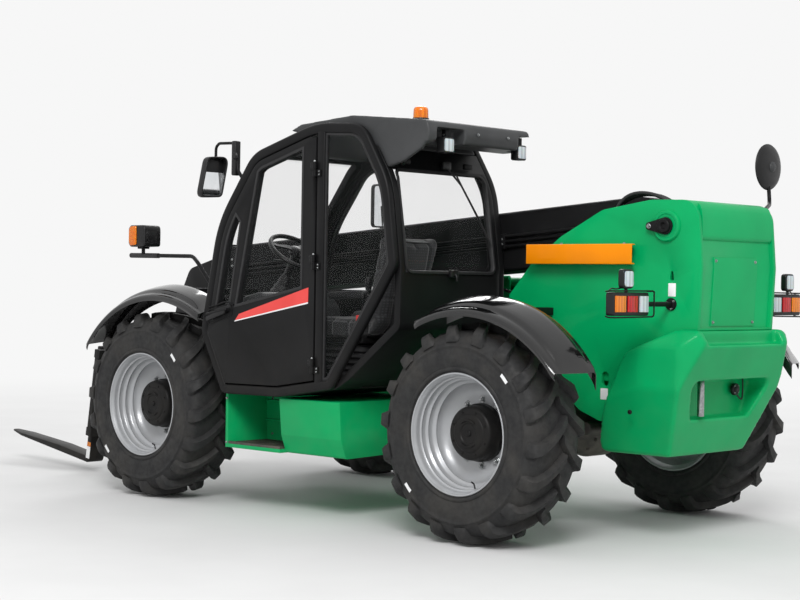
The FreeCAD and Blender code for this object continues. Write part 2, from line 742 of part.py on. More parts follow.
def boom_inner_shape():
    half, low, high = section_sizes(2)
    start, end = section_ends(2)
    tube = hollow(2, start, end - 60)
    body = plate(head_points(), "xz", -half, half)
    slot_half = half - size("head_plate")
    slot = plate([(end + 20, high + 300, 0), (end + 20, -600 + high, 0), (end + 700, -1500, 0),
                  (end + 1500, -1500, 0), (end + 1500, high + 300, 0)], "xz", -slot_half, slot_half)
    body = body.cut(slot)
    tilt_u, tilt_v = to_boom(size("tilt_x"), size("tilt_z"))
    bore = Part.makeCylinder(size("tilt_pin") / 2 + gap, 600, Vector(tilt_u, -300, tilt_v), LEFT)
    boss = Part.makeCylinder(68, 2 * half, Vector(tilt_u, -half, tilt_v), LEFT)
    whole = tube.multiFuse([body, boss, *pads(2, start, False)])
    return on_boom(whole.cut(bore))


solid_node("boom_outer", boom_outer_shape())
solid_node("boom_middle", boom_middle_shape())
solid_node("boom_inner", boom_inner_shape())


# Hydraulic pipes clipped along the left side of the boom.

def boom_pipes_shape():
    half, low, high = section_sizes(0)
    radius = size("pipe_diameter") / 2
    middle = (low + high) / 2 - 10
    start, end = 420, size("boom_length") - 120
    pieces = []
    for step in (-1, 0, 1):
        level = middle + step * 30
        outward = half + 6 + radius
        pieces.append(rod(Vector(start, outward, level), Vector(end, outward, level), radius))
    for i in range(5):
        u = start + 120 + i * (end - start - 240) / 4
        pieces.append(block(u - 20, u + 20, half, half + 12, middle - 46, middle + 46))
    return on_boom(pieces[0].multiFuse(pieces[1:]))


solid_node("boom_pipes", boom_pipes_shape())


# Carriage and forks, drawn upright about the carriage pivot and leaned back.

def on_carriage(shape):
    shape.rotate(Vector(), LEFT, -size("tilt_back"))
    shape.translate(Vector(size("tilt_x"), 0, size("tilt_z")))
    return shape


def carriage_faces():
    """Rear and front faces of the carriage bars, before the pivot."""
    rear = 92
    return rear, rear + size("carriage_bar")


def carriage_shape():
    rear, front = carriage_faces()
    half = size("carriage_width") / 2
    bar = size("carriage_bar")
    top = size("carriage_top")
    bottom = size("carriage_bottom")
    ear = size("carriage_plate")
    ear_y = section_sizes(2)[0] + clear
    pieces = [
        block(rear, front, -half, half, top - bar, top),
        block(rear, front, -half, half, bottom, bottom + bar),
    ]
    for y0 in (half - 20, half * 0.42):
        post = block(rear + 10, front - 10, y0, y0 + 20, bottom, top)
        pieces += [post, across(post)]
    side = [(-62, -62, 60), (-62, 62, 60), (rear, 210, 40), (rear, top, 0), (rear + 40, top, 0),
            (rear + 40, bottom, 0), (rear, bottom, 0), (40, -62, 30)]
    wing = plate(side, "xz", ear_y, ear_y + ear)
    pieces += [wing, across(wing)]
    arm_x = size("tilt_arm_x")
    arm_z = size("tilt_arm_z")
    tab = plate([(arm_x - 45, arm_z - 45, 44), (arm_x - 45, arm_z + 45, 44), (rear + 5, top - 6, 0),
                 (rear + 5, top - 150, 0)], "xz", 36, 56)
    pieces += [tab, across(tab), block(rear, rear + 20, -ear_y, ear_y, top - 160, top)]
    whole = pieces[0].multiFuse(pieces[1:])
    bore = Part.makeCylinder(size("tilt_pin") / 2 + gap, 900, Vector(0, -450, 0), LEFT)
    eye = Part.makeCylinder(20 + gap, 300, Vector(arm_x, -150, arm_z), LEFT)
    return on_carriage(whole.cut(bore).cut(eye))


def carriage_pin_shape():
    half = section_sizes(2)[0] + clear + size("carriage_plate")
    return on_carriage(rod(LEFT * -half, LEFT * half, size("tilt_pin") / 2))


def fork_shape(middle_y):
    front = carriage_faces()[1]
    thick = size("fork_thickness")
    heel = size("fork_heel")
    top = size("carriage_top")
    half = size("fork_width") / 2
    tip_x = front + thick + size("fork_length")
    side = [
        (front, heel, 30), (tip_x, heel, 0), (tip_x, heel + 12, 0), (tip_x - 650, heel + thick, 300),
        (front + thick, heel + thick, 12), (front + thick, top + 14, 8), (front, top + 14, 0),
    ]
    blade = plate(side, "xz", middle_y - half, middle_y + half)
    plan = [(front - 10, middle_y - half, 0), (tip_x - 170, middle_y - half, 60),
            (tip_x, middle_y - half * 0.4, 25), (tip_x, middle_y + half * 0.4, 25),
            (tip_x - 170, middle_y + half, 60), (front - 10, middle_y + half, 0)]
    return blade.common(plate(plan, "xy", heel - 50, top + 100))


solid_node("carriage", carriage_shape())
solid_node("carriage_pin", carriage_pin_shape())
forks = Part.Compound([fork_shape(side * size("fork_spread") / 2) for side in (1, -1)])
solid_node("forks", on_carriage(forks))


# Cylinders: barrel and rod along the line between their pins.

def barrel_shape(length, bore, eye_width):
    body = Part.makeCylinder(bore / 2, length - 90, Vector(90, 0, 0), AHEAD)
    gland = Part.makeCylinder(bore / 2 + 8, 50, Vector(length - 50, 0, 0), AHEAD)
    eye = Part.makeCylinder(bore * 0.4, eye_width, Vector(0, -eye_width / 2, 0), LEFT)
    neck = block(0, 110, -eye_width / 2 * 0.8, eye_width / 2 * 0.8, -bore * 0.3, bore * 0.3)
    return joined(body, gland, eye, neck)


def rod_hole(length, radius):
    return Part.makeCylinder(radius + gap, length, Vector(130, 0, 0), AHEAD)


def rod_shape(start, end, radius, eye_width, eye_radius):
    bar = Part.makeCylinder(radius, end - start - eye_radius * 0.5, Vector(start, 0, 0), AHEAD)
    eye = Part.makeCylinder(eye_radius, eye_width, Vector(end, -eye_width / 2, 0), LEFT)
    return bar.fuse(eye)


def between(shape, first, last):
    way = last - first
    shape.rotate(Vector(), LEFT, -math.degrees(math.atan2(way.z, way.x)))
    shape.translate(first)
    return shape


lift_low = Vector(size("lift_base_x"), 0, size("lift_base_z"))
lift_high = boom_point(size("lift_arm"), -size("lift_drop"))
lift_length = (lift_high - lift_low).Length
lift_barrel_length = lift_length - 150
lift_eye = 108
lift_barrel = barrel_shape(lift_barrel_length, size("lift_bore"), lift_eye)
lift_pin = Part.makeCylinder(30, 180, Vector(0, -90, 0), LEFT)
lift_barrel = lift_barrel.cut(rod_hole(lift_length, size("lift_rod") / 2)).fuse(lift_pin)
solid_node("lift_cylinder_barrel", between(lift_barrel, lift_low, lift_high))
lift_rod = rod_shape(160, lift_length, size("lift_rod") / 2, lift_eye, 52)
solid_node("lift_cylinder_rod", between(lift_rod, lift_low, lift_high))

tilt_low = Vector(size("tilt_x") + size("tilt_base_x"), 0, size("tilt_z") + size("tilt_base_z"))
tilt_eye_point = on_carriage(Part.Vertex(size("tilt_arm_x"), 0, size("tilt_arm_z"))).Point
tilt_length = (tilt_eye_point - tilt_low).Length
tilt_barrel_length = tilt_length - 110
tilt_eye = 2 * (section_sizes(2)[0] - size("head_plate") - gap)
tilt_barrel = barrel_shape(tilt_barrel_length, size("tilt_bore"), tilt_eye)
tilt_barrel = tilt_barrel.cut(rod_hole(tilt_length, size("tilt_rod") / 2))
solid_node("tilt_cylinder_barrel", between(tilt_barrel, tilt_low, tilt_eye_point))
tilt_rod = rod_shape(160, tilt_length, size("tilt_rod") / 2, 66, 36)
solid_node("tilt_cylinder_rod", between(tilt_rod, tilt_low, tilt_eye_point))


# Cab: a hollow shell of floor, rear, front, roof, boom-side wall and door-side frame.

knee_x = size("wheelbase") - hub_z + size("cab_knee_stand")
roof_top = size("roof_cap") - size("roof_stand")


def cab_outline():
    floor = size("cab_floor")
    roof = roof_top
    rear = size("cab_rear")
    return [
        (knee_x - 205, floor, 60), (knee_x, size("cab_knee_z"), 130), (knee_x - 145, roof - 560, 700),
        (knee_x - 460, roof - 148, 260), (knee_x - 1010, roof + 6, 700), (rear + 270, roof - 18, 190),
        (rear + 62, roof - 350, 500), (rear - 4, roof - 820, 100), (1000, floor + 74, 50),
        (1450, floor + 6, 300),
    ]


def cab_ring(y0, y1, depth, outside=0):
    """The cab's outline as a ring of the given depth, between two planes across the cab."""
    outer = plate(inset(cab_outline(), outside), "xz", y0, y1)
    inner = plate(inset(cab_outline(), depth), "xz", y0 - 1, y1 + 1)
    return outer.cut(inner)


cab_y0 = size("cab_right")
cab_y1 = size("cab_left")
wall = size("cab_wall")
inner_y0 = cab_y0 + wall
inner_y1 = cab_y1 - wall
FAR = 4000
floor_rear, floor_front = 1030, knee_x - 262
header_x = knee_x - 500
eaves_z = roof_top - 150
CAB_REGIONS = {
    # name: boxes as x0, x1, z0, z1 that cut the shell where its panels meet
    "cab_floor": ((floor_rear, floor_front, 0, 1000),),
    "cab_rear_wall": ((-FAR, floor_rear, 0, eaves_z),),
    "cab_front_wall": ((header_x, FAR, 1000, FAR), (floor_front, FAR, 0, 1000)),
    "cab_roof": ((-FAR, header_x, eaves_z, FAR),),
}


def cab_region(name, y0, y1):
    boxes = [block(x0, x1, y0, y1, z0, z1) for x0, x1, z0, z1 in CAB_REGIONS[name]]
    return boxes[0].multiFuse(boxes[1:]) if len(boxes) > 1 else boxes[0]


window_y0 = inner_y0 + 45
window_y1 = inner_y1 - 45
rear_window = block(-FAR, 900, window_y0, window_y1, roof_top - 855, roof_top - 275)
windscreen = block(1200, FAR, window_y0, window_y1, size("cab_knee_z") + 150, eaves_z - 20)


def body_outline():
    """The closed body between the side frames: as they are, but upright down to the rear fender."""
    points = cab_outline()
    rear = points[7][0]
    return points[:7] + [(rear, roof_top - 820, 0), (rear, size("cab_floor") + 440, 60),
                         (900, size("cab_floor") + 130, 60)] + points[8:]


shell = plate(body_outline(), "xz", inner_y0, inner_y1).cut(
    plate(inset(body_outline(), wall), "xz", inner_y0 - 1, inner_y1 + 1))
pane = cab_ring(inner_y0, inner_y1, wall / 2 + size("glass") / 2, wall / 2 - size("glass") / 2)


def steered_room(angle):
    """The room that the left front tyre needs when it is steered by an angle."""
    radius = size("tyre_diameter") / 2 + clear
    half = size("tyre_width") / 2 + clear
    room = Part.makeCylinder(radius, 2 * half, Vector(0, half_track - kingpin_y - half, 0), LEFT)
    room.rotate(Vector(), UP, angle)
    room.translate(Vector(size("wheelbase"), kingpin_y, hub_z))
    return room


rear_wall = shell.common(cab_region("cab_rear_wall", -FAR, FAR)).cut(rear_window)
front_wall = shell.common(cab_region("cab_front_wall", -FAR, FAR)).cut(windscreen)
front_wall = front_wall.cut(steered_room(size("steer_lock"))).cut(steered_room(size("steer_lock") - 5))
solid_node("cab_floor", shell.common(cab_region("cab_floor", -FAR, FAR)))
solid_node("cab_rear_wall", rear_wall)
solid_node("cab_front_wall", front_wall)


ROOF_NOTCHES = ((cab_y0 + 9, cab_y0 + 115), (800, 1030))


def roof_shape():
    skin = shell.common(cab_region("cab_roof", -FAR, FAR))
    top = size("roof_cap")
    rear = size("roof_rear")
    cap_side = [
        (header_x - 240, roof_top - 30, 0), (header_x - 330, top - 30, 120), (900, top, 400),
        (rear + 20, top - 56, 40), (rear, top - 120, 30), (rear + 15, top - 178, 10),
        (rear + 60, top - 178, 10), (rear + 200, eaves_z + 5, 20), (900, eaves_z + 90, 60),
        (1150, roof_top - 60, 60),
    ]
    cap = plate(cap_side, "xz", cab_y0 + 10, inner_y1)
    keep_out = plate(cab_outline(), "xz", cab_y0 - 10, cab_y1 + 10)
    notches = [block(rear - 1, rear + 100, y0, y1, top - 190, top - 92) for y0, y1 in ROOF_NOTCHES]
    cap = cap.cut(keep_out).cut(notches[0].fuse(notches[1]))
    cap = max(cap.Solids, key=lambda s: s.Volume)
    gusset = [(rear + 20, top - 100, 0), (rear + 4, top - 142, 0), (rear + 60, top - 210, 60),
              (rear + 200, top - 280, 120), (rear + 330, top - 312, 0), (rear + 560, top - 60, 0)]
    gusset = plate(gusset, "xz", inner_y1 - 34, inner_y1).cut(keep_out)
    return skin.multiFuse([cap, gusset])


roof = roof_shape()
solid_node("cab_roof", roof)


def roof_lamp(y0, y1):
    """A work lamp hung in one of the roof's notches."""
    front = size("roof_rear") + 80
    low = size("roof_cap") - 228
    stem_y = (y0 + y1) / 2
    stem_top = size("roof_cap") - 92 - gap
    return joined(block(front - 55, front, y0, y1, low, low + 88),
                  block(front - 40, front - 10, stem_y - 15, stem_y + 15, low + 80, stem_top))


solid_node("roof_lamps", Part.Compound([roof_lamp(cab_y0 + 20, cab_y0 + 104), roof_lamp(866, 956)]))

right_window = plate(inset(cab_outline(), 85), "xz", cab_y0 - 1, inner_y0 + 1)
right_window = right_window.common(block(-FAR, FAR, -FAR, FAR, 1330, FAR))
right_wall = plate(body_outline(), "xz", cab_y0, inner_y0).cut(right_window)
solid_node("cab_right_wall", right_wall)


# Door side: tube frame with the post, then the door inside it.

pillar = size("pillar_x")
tube_width = size("cab_tube")
side_ring = cab_ring(inner_y1, cab_y1, tube_width)
post = plate(inset(cab_outline(), tube_width / 2), "xz", inner_y1, cab_y1)
post = post.common(block(pillar - tube_width / 2, pillar + tube_width / 2, -FAR, FAR, 0, FAR))
# Hinges of the door: the post carries the lower tube of each, the door the upper one.
HINGE_HEIGHTS = (size("cab_floor") + 160, size("cab_floor") + 760, roof_top - 308)
hinge_tube = 11
hinge_reach = 40
hinge_x = pillar + tube_width / 2 + size("door_gap") / 2
hinge_out = cab_y1 + hinge_tube + 1


def door_hinges(side):
    """Tubes with leaves: side -1 on the post, side 1 on the door."""
    pieces = []
    for z in HINGE_HEIGHTS:
        low = z if side < 0 else z + hinge_reach + gap
        pieces.append(Part.makeCylinder(hinge_tube, hinge_reach, Vector(hinge_x, hinge_out, low)))
        x0, x1 = sorted((hinge_x, hinge_x + side * 34))
        pieces.append(block(x0, x1, cab_y1 - 2, hinge_out, low, low + hinge_reach).cut(
            block(hinge_x - 4, hinge_x + 4, 0, cab_y1 + 1, 0, FAR)))
    return pieces


side_frame = side_ring.fuse([post] + door_hinges(-1))
solid_node("cab_side_frame", side_frame)

door_rear = pillar + tube_width / 2 + size("door_gap")
door_region = block(door_rear, FAR, -FAR, FAR, 0, FAR)
door = plate(inset(cab_outline(), tube_width + size("door_gap")), "xz", inner_y1, cab_y1).common(door_region)
window_line = size("cab_knee_z") + 160
DOOR_WINDOWS = (
    # outline in x, z, corner radius, before it is trimmed to the door's own edge
    ((door_rear + 105, window_line + 118, 0), (knee_x - 325, window_line, 0),
     (knee_x - 500, roof_top - 318, 0),
     (knee_x - 600, roof_top + 82, 0), (door_rear + 105, roof_top + 82, 0)),
    ((knee_x - 275, window_line - 5, 0), (knee_x + 240, window_line - 80, 0),
     (knee_x + 240, roof_top + 82, 0),
     (knee_x - 370, roof_top - 558, 0)),
)
door_edge = inset(cab_outline(), tube_width + size("door_gap") + 42)


def door_window(region, y0, y1):
    return plate(door_edge, "xz", y0, y1).common(plate(region, "xz", y0 - 1, y1 + 1))


pane_y0 = (inner_y1 + cab_y1 - size("glass")) / 2
pane_y1 = pane_y0 + size("glass")
for region in DOOR_WINDOWS:
    door = door.cut(door_window(region, inner_y1 - 1, cab_y1 + 1))
# The hinge axis stands outside the door, so its top rear corner turns under the frame.
door = door.cut(block(door_rear - 1, door_rear + 62, -FAR, FAR, roof_top - 80, FAR))
handle_z = size("cab_knee_z") + 107
handle_y = cab_y1 + 30
handle = bent_rod([Vector(knee_x - 102, cab_y1 - 4, handle_z), Vector(knee_x - 102, handle_y, handle_z),
                   Vector(knee_x - 270, handle_y, handle_z + 30),
                   Vector(knee_x - 270, cab_y1 - 4, handle_z + 30)], 11)
solid_node("cab_door", door.fuse([handle] + door_hinges(1)))
solid_node("door_glass", Part.Compound([door_window(r, pane_y0, pane_y1) for r in DOOR_WINDOWS]))

quarter = plate(inset(cab_outline(), tube_width), "xz", pane_y0, pane_y1)
quarter = quarter.common(block(-FAR, pillar - tube_width / 2, -FAR, FAR, 0, FAR))
right_pane_y0 = (cab_y0 + inner_y0 - size("glass")) / 2
right_pane = right_window.common(block(-FAR, FAR, right_pane_y0, right_pane_y0 + size("glass"), 0, FAR))
panes = [quarter, right_pane, pane.common(rear_window), pane.common(windscreen)]
solid_node("cab_glass", Part.Compound([s for piece in panes for s in piece.Solids]))


# Inside the cab: seat, console and steering wheel.

cab_middle = (inner_y0 + inner_y1) / 2
floor_top = size("cab_floor") + wall + 6
seat_z = floor_top + 320
seat_base = joined(
    block(1100, 1350, cab_middle - 150, cab_middle + 150, floor_top + 20, seat_z - 30),
    block(980, 1400, cab_middle - 220, cab_middle + 220, seat_z - 35, seat_z))
solid_node("seat_base", seat_base.cut(shell))
cushion = plate([(985, seat_z + gap, 20), (1430, seat_z + gap, 40), (1430, seat_z + 100, 50),
                 (985, seat_z + 85, 20)], "xz", cab_middle - 230, cab_middle + 230)
backrest = plate([(955, seat_z + gap, 10), (1010, seat_z + gap, 10), (1010, seat_z + 90, 0),
                  (880, seat_z + 610, 50), (770, seat_z + 600, 50), (880, seat_z + 60, 40)],
                 "xz", cab_middle - 215, cab_middle + 215)
backrest = backrest.cut(cushion).cut(cushion.translated(Vector(-gap, 0, 0)))
solid_node("seat_cushions", Part.Compound([cushion, backrest]))


def console_shape():
    low = floor_top - 30
    pod = plate([(knee_x - 520, low, 0), (knee_x - 290, low, 0), (knee_x - 170, low + 308, 30),
                 (knee_x - 180, low + 568, 60), (knee_x - 370, low + 608, 60), (knee_x - 460, low + 508, 40)],
                "xz", cab_middle - 300, cab_middle + 300).cut(shell)
    wheel_at = Vector(knee_x - 362, cab_middle, low + 848)
    column = rod(Vector(knee_x - 205, cab_middle, low + 560), wheel_at, 32)
    radius = size("steering_wheel") / 2
    ring = Part.makeTorus(radius - 15, 15, Vector(), UP)
    spokes = [rod(Vector(), Vector(math.cos(a), math.sin(a), 0) * (radius - 12), 11)
              for a in (0, 2 * math.pi / 3, 4 * math.pi / 3)]
    wheel = ring.multiFuse(spokes + [Part.makeCylinder(45, 36, Vector(0, 0, -18))])
    wheel.rotate(Vector(), LEFT, -35.8)
    wheel.translate(wheel_at)
    return joined(pod, column, wheel)


solid_node("console", console_shape())


# Left side: box and step recess.

def side_step_shape():
    low = size("step_floor")
    high = size("cab_floor") - gap
    outer = size("side_width")
    inner = size("frame_width") / 2
    rear = size("box_rear")
    front = size("box_front")
    tank = plate([(inner, low + 20, 0), (outer - 60, low, 20), (outer - 20, low + 110, 30), (outer, high, 10),
                  (inner, high, 0)], "yz", rear, front)
    step = joined(
        block(front - 1, size("step_front"), inner, outer - 330, low + 60, high),
        block(front - 1, size("step_front"), outer - 350, outer - 10, low, low + 22),
        block(size("step_front") - 22, size("step_front"), inner, outer - 10, low, high),
        block(front - 1, size("step_front"), outer - 350, outer - 330, low, high))
    return tank.fuse(step)


solid_node("side_boxes", side_step_shape())


# Right side: engine, its bay and the hinged hood.

bay_y = size("bay_side")
frame_side = size("frame_width") / 2
solid_node("engine", block(size("bay_rear") + 130, size("bay_front") - 150, -bay_y + 190, -frame_side - 60,
                           size("bay_floor") + 30, size("hood_top") - 130))


hinge_y = -frame_side + 4
hinge_z = size("hood_top") - 4
HINGES = (size("bay_rear") + 120, size("bay_front") - 280)
hinge_half = 80


def bay_shape():
    low = size("bay_floor")
    rear = size("bay_rear")
    front = size("bay_front")
    split = size("hood_split") - gap
    rail = size("hood_top") - 100
    pieces = [
        block(rear, front, -bay_y + 30, -frame_side, low, low + 30),
        block(rear, rear + 30, -bay_y + 30, -frame_side, low, split),
        block(front - 30, front, -bay_y + 30, -frame_side, low, split),
        block(rear, front, -bay_y, -bay_y + 30, low, split),
        block(rear + 40, rear + 80, -frame_side - 30, -frame_side, low, rail),
        block(front - 80, front - 40, -frame_side - 30, -frame_side, low, rail),
        block(rear + 40, front - 40, -frame_side - 30, -frame_side, rail - 40, rail),
    ]
    for x in HINGES:
        pieces.append(block(x, x + hinge_half, -frame_side - 12, -frame_side, rail - 40, hinge_z))
        pieces.append(Part.makeCylinder(14, hinge_half, Vector(x, hinge_y, hinge_z), AHEAD))
    return pieces[0].multiFuse(pieces[1:])


solid_node("engine_bay", bay_shape())


def hood_shape():
    low = size("hood_split")
    top = size("hood_top")
    inner = -frame_side - 16
    skin = size("hood_plate")
    rear = size("bay_rear")
    front = size("bay_front")
    section = [(inner, top - 60, 10), (inner, top, 30), (-bay_y + 220, top - 10, 160),
               (-bay_y, top - 190, 160), (-bay_y, low, 0), (-bay_y + 300, low, 0), (inner - 60, top - 70, 0)]
    inside = [(inner + 60, top - 400, 0), (inner + 60, top - 80, 0), (inner - 20, top - 80, 0),
              (inner - 20, top - skin, 10), (-bay_y + 228, top - skin - 8, 140),
              (-bay_y + skin, top - 200, 140), (-bay_y + skin, low - 50, 0), (inner + 60, low - 50, 0)]
    whole = plate(section, "yz", rear, front)
    whole = whole.cut(plate(inside, "yz", rear + skin, front - skin))
    pieces = []
    for x in HINGES:
        start = x + hinge_half + gap
        pieces.append(Part.makeCylinder(14, hinge_half, Vector(start, hinge_y, hinge_z), AHEAD))
        pieces.append(block(start, start + hinge_half, inner - 18, hinge_y, hinge_z - 14, hinge_z))
    return whole.multiFuse(pieces)


solid_node("engine_hood", hood_shape())


# Fenders over the wheels, on brackets from the frame.

def fender_shape(outer_points, inner_points):
    wires = []
    thick = size("fender_plate")
    sides = ((outer_points, size("fender_outer")), (inner_points, size("fender_inner")))
    for (first, middle, last), y in sides:
        ends = [Vector(p[0], y, p[1]) for p in (first, middle, last)]
        down = [p - UP * thick for p in ends]
        wires.append(Part.Wire([
            Part.Arc(*ends).toShape(), Part.LineSegment(ends[2], down[2]).toShape(),
            Part.Arc(down[2], down[1], down[0]).toShape(), Part.LineSegment(down[0], ends[0]).toShape()]))
    return Part.makeLoft(wires, True, True)


base = size("wheelbase")
tyre_top = size("tyre_diameter")
rear_fender = fender_shape(
    ((hub_z - 280, tyre_top + 8), (-150, tyre_top + 78), (-655, tyre_top - 232)),
    ((hub_z - 310, tyre_top + 86), (-106, tyre_top + 154), (-745, tyre_top - 229)))
front_fender = fender_shape(
    ((base + hub_z - 7, tyre_top - 224), (base - 60, tyre_top + 146), (base + 32 - hub_z, tyre_top + 3)),
    ((base + hub_z + 48, tyre_top - 199), (base - 60, tyre_top + 206), (base + 72 - hub_z, tyre_top + 76)))
rear_arm_top = tyre_top + 150
rear_arm = block(-120, -60, size("tower_width") / 2, size("fender_inner") + 8,
                 rear_arm_top - 46, rear_arm_top)
front_arm_top = tyre_top + 203
front_arm = joined(
    block(base - 110, base - 50, frame_side, frame_side + 20, 820, front_arm_top),
    block(base - 110, base - 50, frame_side, size("fender_inner") + 8, front_arm_top - 46, front_arm_top))
solid_node("fenders", Part.Compound([both(rear_fender.fuse(rear_arm)), both(front_fender.fuse(front_arm))]))


# Lamps, mirrors, beacon and the boom prop.

def lamp_sets():
    tower_side = size("tower_width") / 2
    wide = size("lamp_width")
    high = size("lamp_height")
    inner = 600
    cluster = block(-820, -765, inner, inner + wide, 1238, 1238 + high)
    arm = block(-805, -781, tower_side, inner + 20, 1286, 1312)
    mount = Part.makeCylinder(34, 10, Vector(-793, tower_side, 1299), LEFT)
    work = block(-822, -782, 747, 837, 1378, 1478)
    post = block(-808, -796, 772, 812, 1238 + high - 10, 1385)
    return both(joined(cluster, arm, mount, work, post))


solid_node("rear_lamps", lamp_sets())
pipe_side = size("cab_left") - 20
front_pipe = bent_rod([Vector(knee_x - 90, pipe_side, 1350), Vector(knee_x + 55, pipe_side, 1500),
                       Vector(knee_x + 130, pipe_side - 20, 1545), Vector(2760, pipe_side - 40, 1560),
                       Vector(2800, pipe_side - 40, 1610)], 12)
front_lamp = block(2760, 2900, 1010, 1150, 1600, 1740)
solid_node("front_lamps", joined(front_pipe, front_lamp).cut(side_frame))
left_arm = bent_rod([Vector(knee_x - 380, 1126, roof_top - 328), Vector(knee_x - 200, 1126, roof_top - 188),
                     Vector(knee_x - 80, 1130, roof_top - 128),
                     Vector(knee_x - 60, 1130, roof_top - 198)], 10)
left_mirror = plate([(1010, roof_top - 418, 30), (1230, roof_top - 418, 30), (1230, roof_top - 148, 40),
                     (1010, roof_top - 148, 40)], "yz", knee_x - 75, knee_x - 35)
arm_root = -size("tower_width") / 2
right_arm = bent_rod([Vector(-800, arm_root, 1760), Vector(-800, arm_root - 60, 1760),
                      Vector(-740, -640, 1850), Vector(-500, -1080, 1900),
                      Vector(-480, -1080, 2128)], 12)

right_mirror = Part.makeCylinder(140, 36, Vector(-516, -1080, 2128), AHEAD)
front_stalk = rod(Vector(2760, -1060, 1300), Vector(2760, -1060, 1960), 12)
front_mirror = plate([(-960, 1800, 30), (-1160, 1800, 30), (-1160, 2120, 40), (-960, 2120, 40)],
                     "yz", 2745, 2775)
front_mirror = front_stalk.fuse(front_mirror).cut(across(front_fender))
front_mirror = max(front_mirror.Solids, key=lambda solid: solid.Volume)
mirrors = Part.Compound([left_arm.fuse(left_mirror).cut(side_frame), right_arm.fuse(right_mirror).cut(tower),
                         front_mirror])
solid_node("mirrors", mirrors)
beacon_at = Vector(740, 700, size("roof_cap") - 24)
beacon = Part.makeCylinder(size("beacon_diameter") / 2, 98, beacon_at)
solid_node("beacon", beacon.cut(roof))


def prop_shape():
    inner = size("tower_width") / 2
    outer = inner + size("prop_depth")
    high = size("prop_height")
    rear = -585
    front = rear + size("prop_length")
    low = rear_arm_top + 176
    channel = block(rear, front, inner, outer, low, low + high)
    channel = channel.cut(block(rear - 1, front + 1, inner - 1, outer - 7, low + 7, low + high - 7))
    return channel.cut(plate([(rear - 1, inner - 1, 0), (rear + 55, inner - 1, 0), (rear - 1, outer - 30, 0)],
                             "xy", low - 1, low + high + 1))


solid_node("boom_prop", prop_shape())


# Hitch pin, upright in the rear pocket.

hitch_pin = primitive("Cylinder", "hitch_pin",
                      ("0", "Sizes.hitch_pin_y", "Sizes.hitch_floor + Sizes.running_gap"),
                      Radius="Sizes.hitch_pin_diameter / 2",
                      Height="Sizes.hitch_roof - Sizes.hitch_floor - 2 * Sizes.running_gap")
keep(hitch_pin, "hitch_pin", "Sizes.tower_rear + 85")


# Check every object, then write one file for each node.

doc.recompute()
for thing in doc.Objects:
    if "Invalid" in thing.State or "Error" in thing.State:
        raise RuntimeError(f"{thing.Label} did not build: {thing.State}")
os.makedirs("parts", exist_ok=True)
for thing in nodes:
    if thing.Shape.isNull() or not thing.Shape.isValid():
        raise RuntimeError(f"{thing.Label} has no valid shape")
    thing.Shape.exportStep(f"parts/{thing.Label}.step")
    print(thing.Label, len(thing.Shape.Solids), round(thing.Shape.Volume / 1e9, 4), flush=True)
print(len(nodes), "nodes")
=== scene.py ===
import json
import math
import random

import bmesh
import bpy
from bpy.props import BoolProperty, FloatProperty, FloatVectorProperty, IntProperty, PointerProperty
from mathutils import Euler, Matrix, Vector, noise
from mathutils.bvhtree import BVHTree


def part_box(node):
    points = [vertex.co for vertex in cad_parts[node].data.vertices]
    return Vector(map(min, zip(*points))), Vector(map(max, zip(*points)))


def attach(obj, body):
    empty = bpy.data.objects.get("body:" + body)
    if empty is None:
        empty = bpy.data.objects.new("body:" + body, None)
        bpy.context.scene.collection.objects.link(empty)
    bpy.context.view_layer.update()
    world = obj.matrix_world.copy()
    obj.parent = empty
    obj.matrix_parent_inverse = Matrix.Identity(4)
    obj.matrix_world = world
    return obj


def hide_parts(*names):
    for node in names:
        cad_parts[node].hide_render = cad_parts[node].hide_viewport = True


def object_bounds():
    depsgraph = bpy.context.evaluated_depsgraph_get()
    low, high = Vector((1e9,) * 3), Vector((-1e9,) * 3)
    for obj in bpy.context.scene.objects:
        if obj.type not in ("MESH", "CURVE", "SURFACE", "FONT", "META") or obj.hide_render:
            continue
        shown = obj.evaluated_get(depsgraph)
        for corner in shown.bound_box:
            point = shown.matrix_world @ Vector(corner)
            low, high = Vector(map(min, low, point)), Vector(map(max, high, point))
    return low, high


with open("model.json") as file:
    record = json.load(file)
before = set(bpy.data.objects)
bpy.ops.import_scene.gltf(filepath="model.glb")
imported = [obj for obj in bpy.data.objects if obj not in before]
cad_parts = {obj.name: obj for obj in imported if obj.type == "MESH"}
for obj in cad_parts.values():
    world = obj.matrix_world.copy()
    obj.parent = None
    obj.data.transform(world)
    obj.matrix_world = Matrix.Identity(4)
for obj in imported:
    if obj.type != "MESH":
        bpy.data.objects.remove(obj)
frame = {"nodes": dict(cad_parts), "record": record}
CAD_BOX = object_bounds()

bl_info = {
    "name": "Telehandler",
    "version": (1, 0, 0),
    "blender": (4, 5, 0),
    "location": "3D View > Sidebar > Telehandler",
    "description": "Dresses the packed telehandler with its finishes and fittings",
    "category": "Add Mesh",
}

TAU = 2 * math.pi


def middle_of(node):
    low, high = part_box(node)
    return (low + high) / 2


# Places are given from the rear axle, in metres: x forward, y left, z up from the ground.
REAR_AXLE_X = middle_of("rim_rear_left").x
WHEELBASE = middle_of("rim_front_left").x - REAR_AXLE_X
HUB_Z = middle_of("rim_rear_left").z
HALF_TRACK = middle_of("tyre_rear_left").y
BOOM_SLOPE = math.radians(4.35)
BOOM_PIVOT = (-0.760, 1.715)
WHEELS = {
    # name: distance from the rear axle, side
    "front_left": (WHEELBASE, 1),
    "front_right": (WHEELBASE, -1),
    "rear_left": (0.0, 1),
    "rear_right": (0.0, -1),
}


def spot(x, y, z):
    return Vector((x + REAR_AXLE_X, y, z))


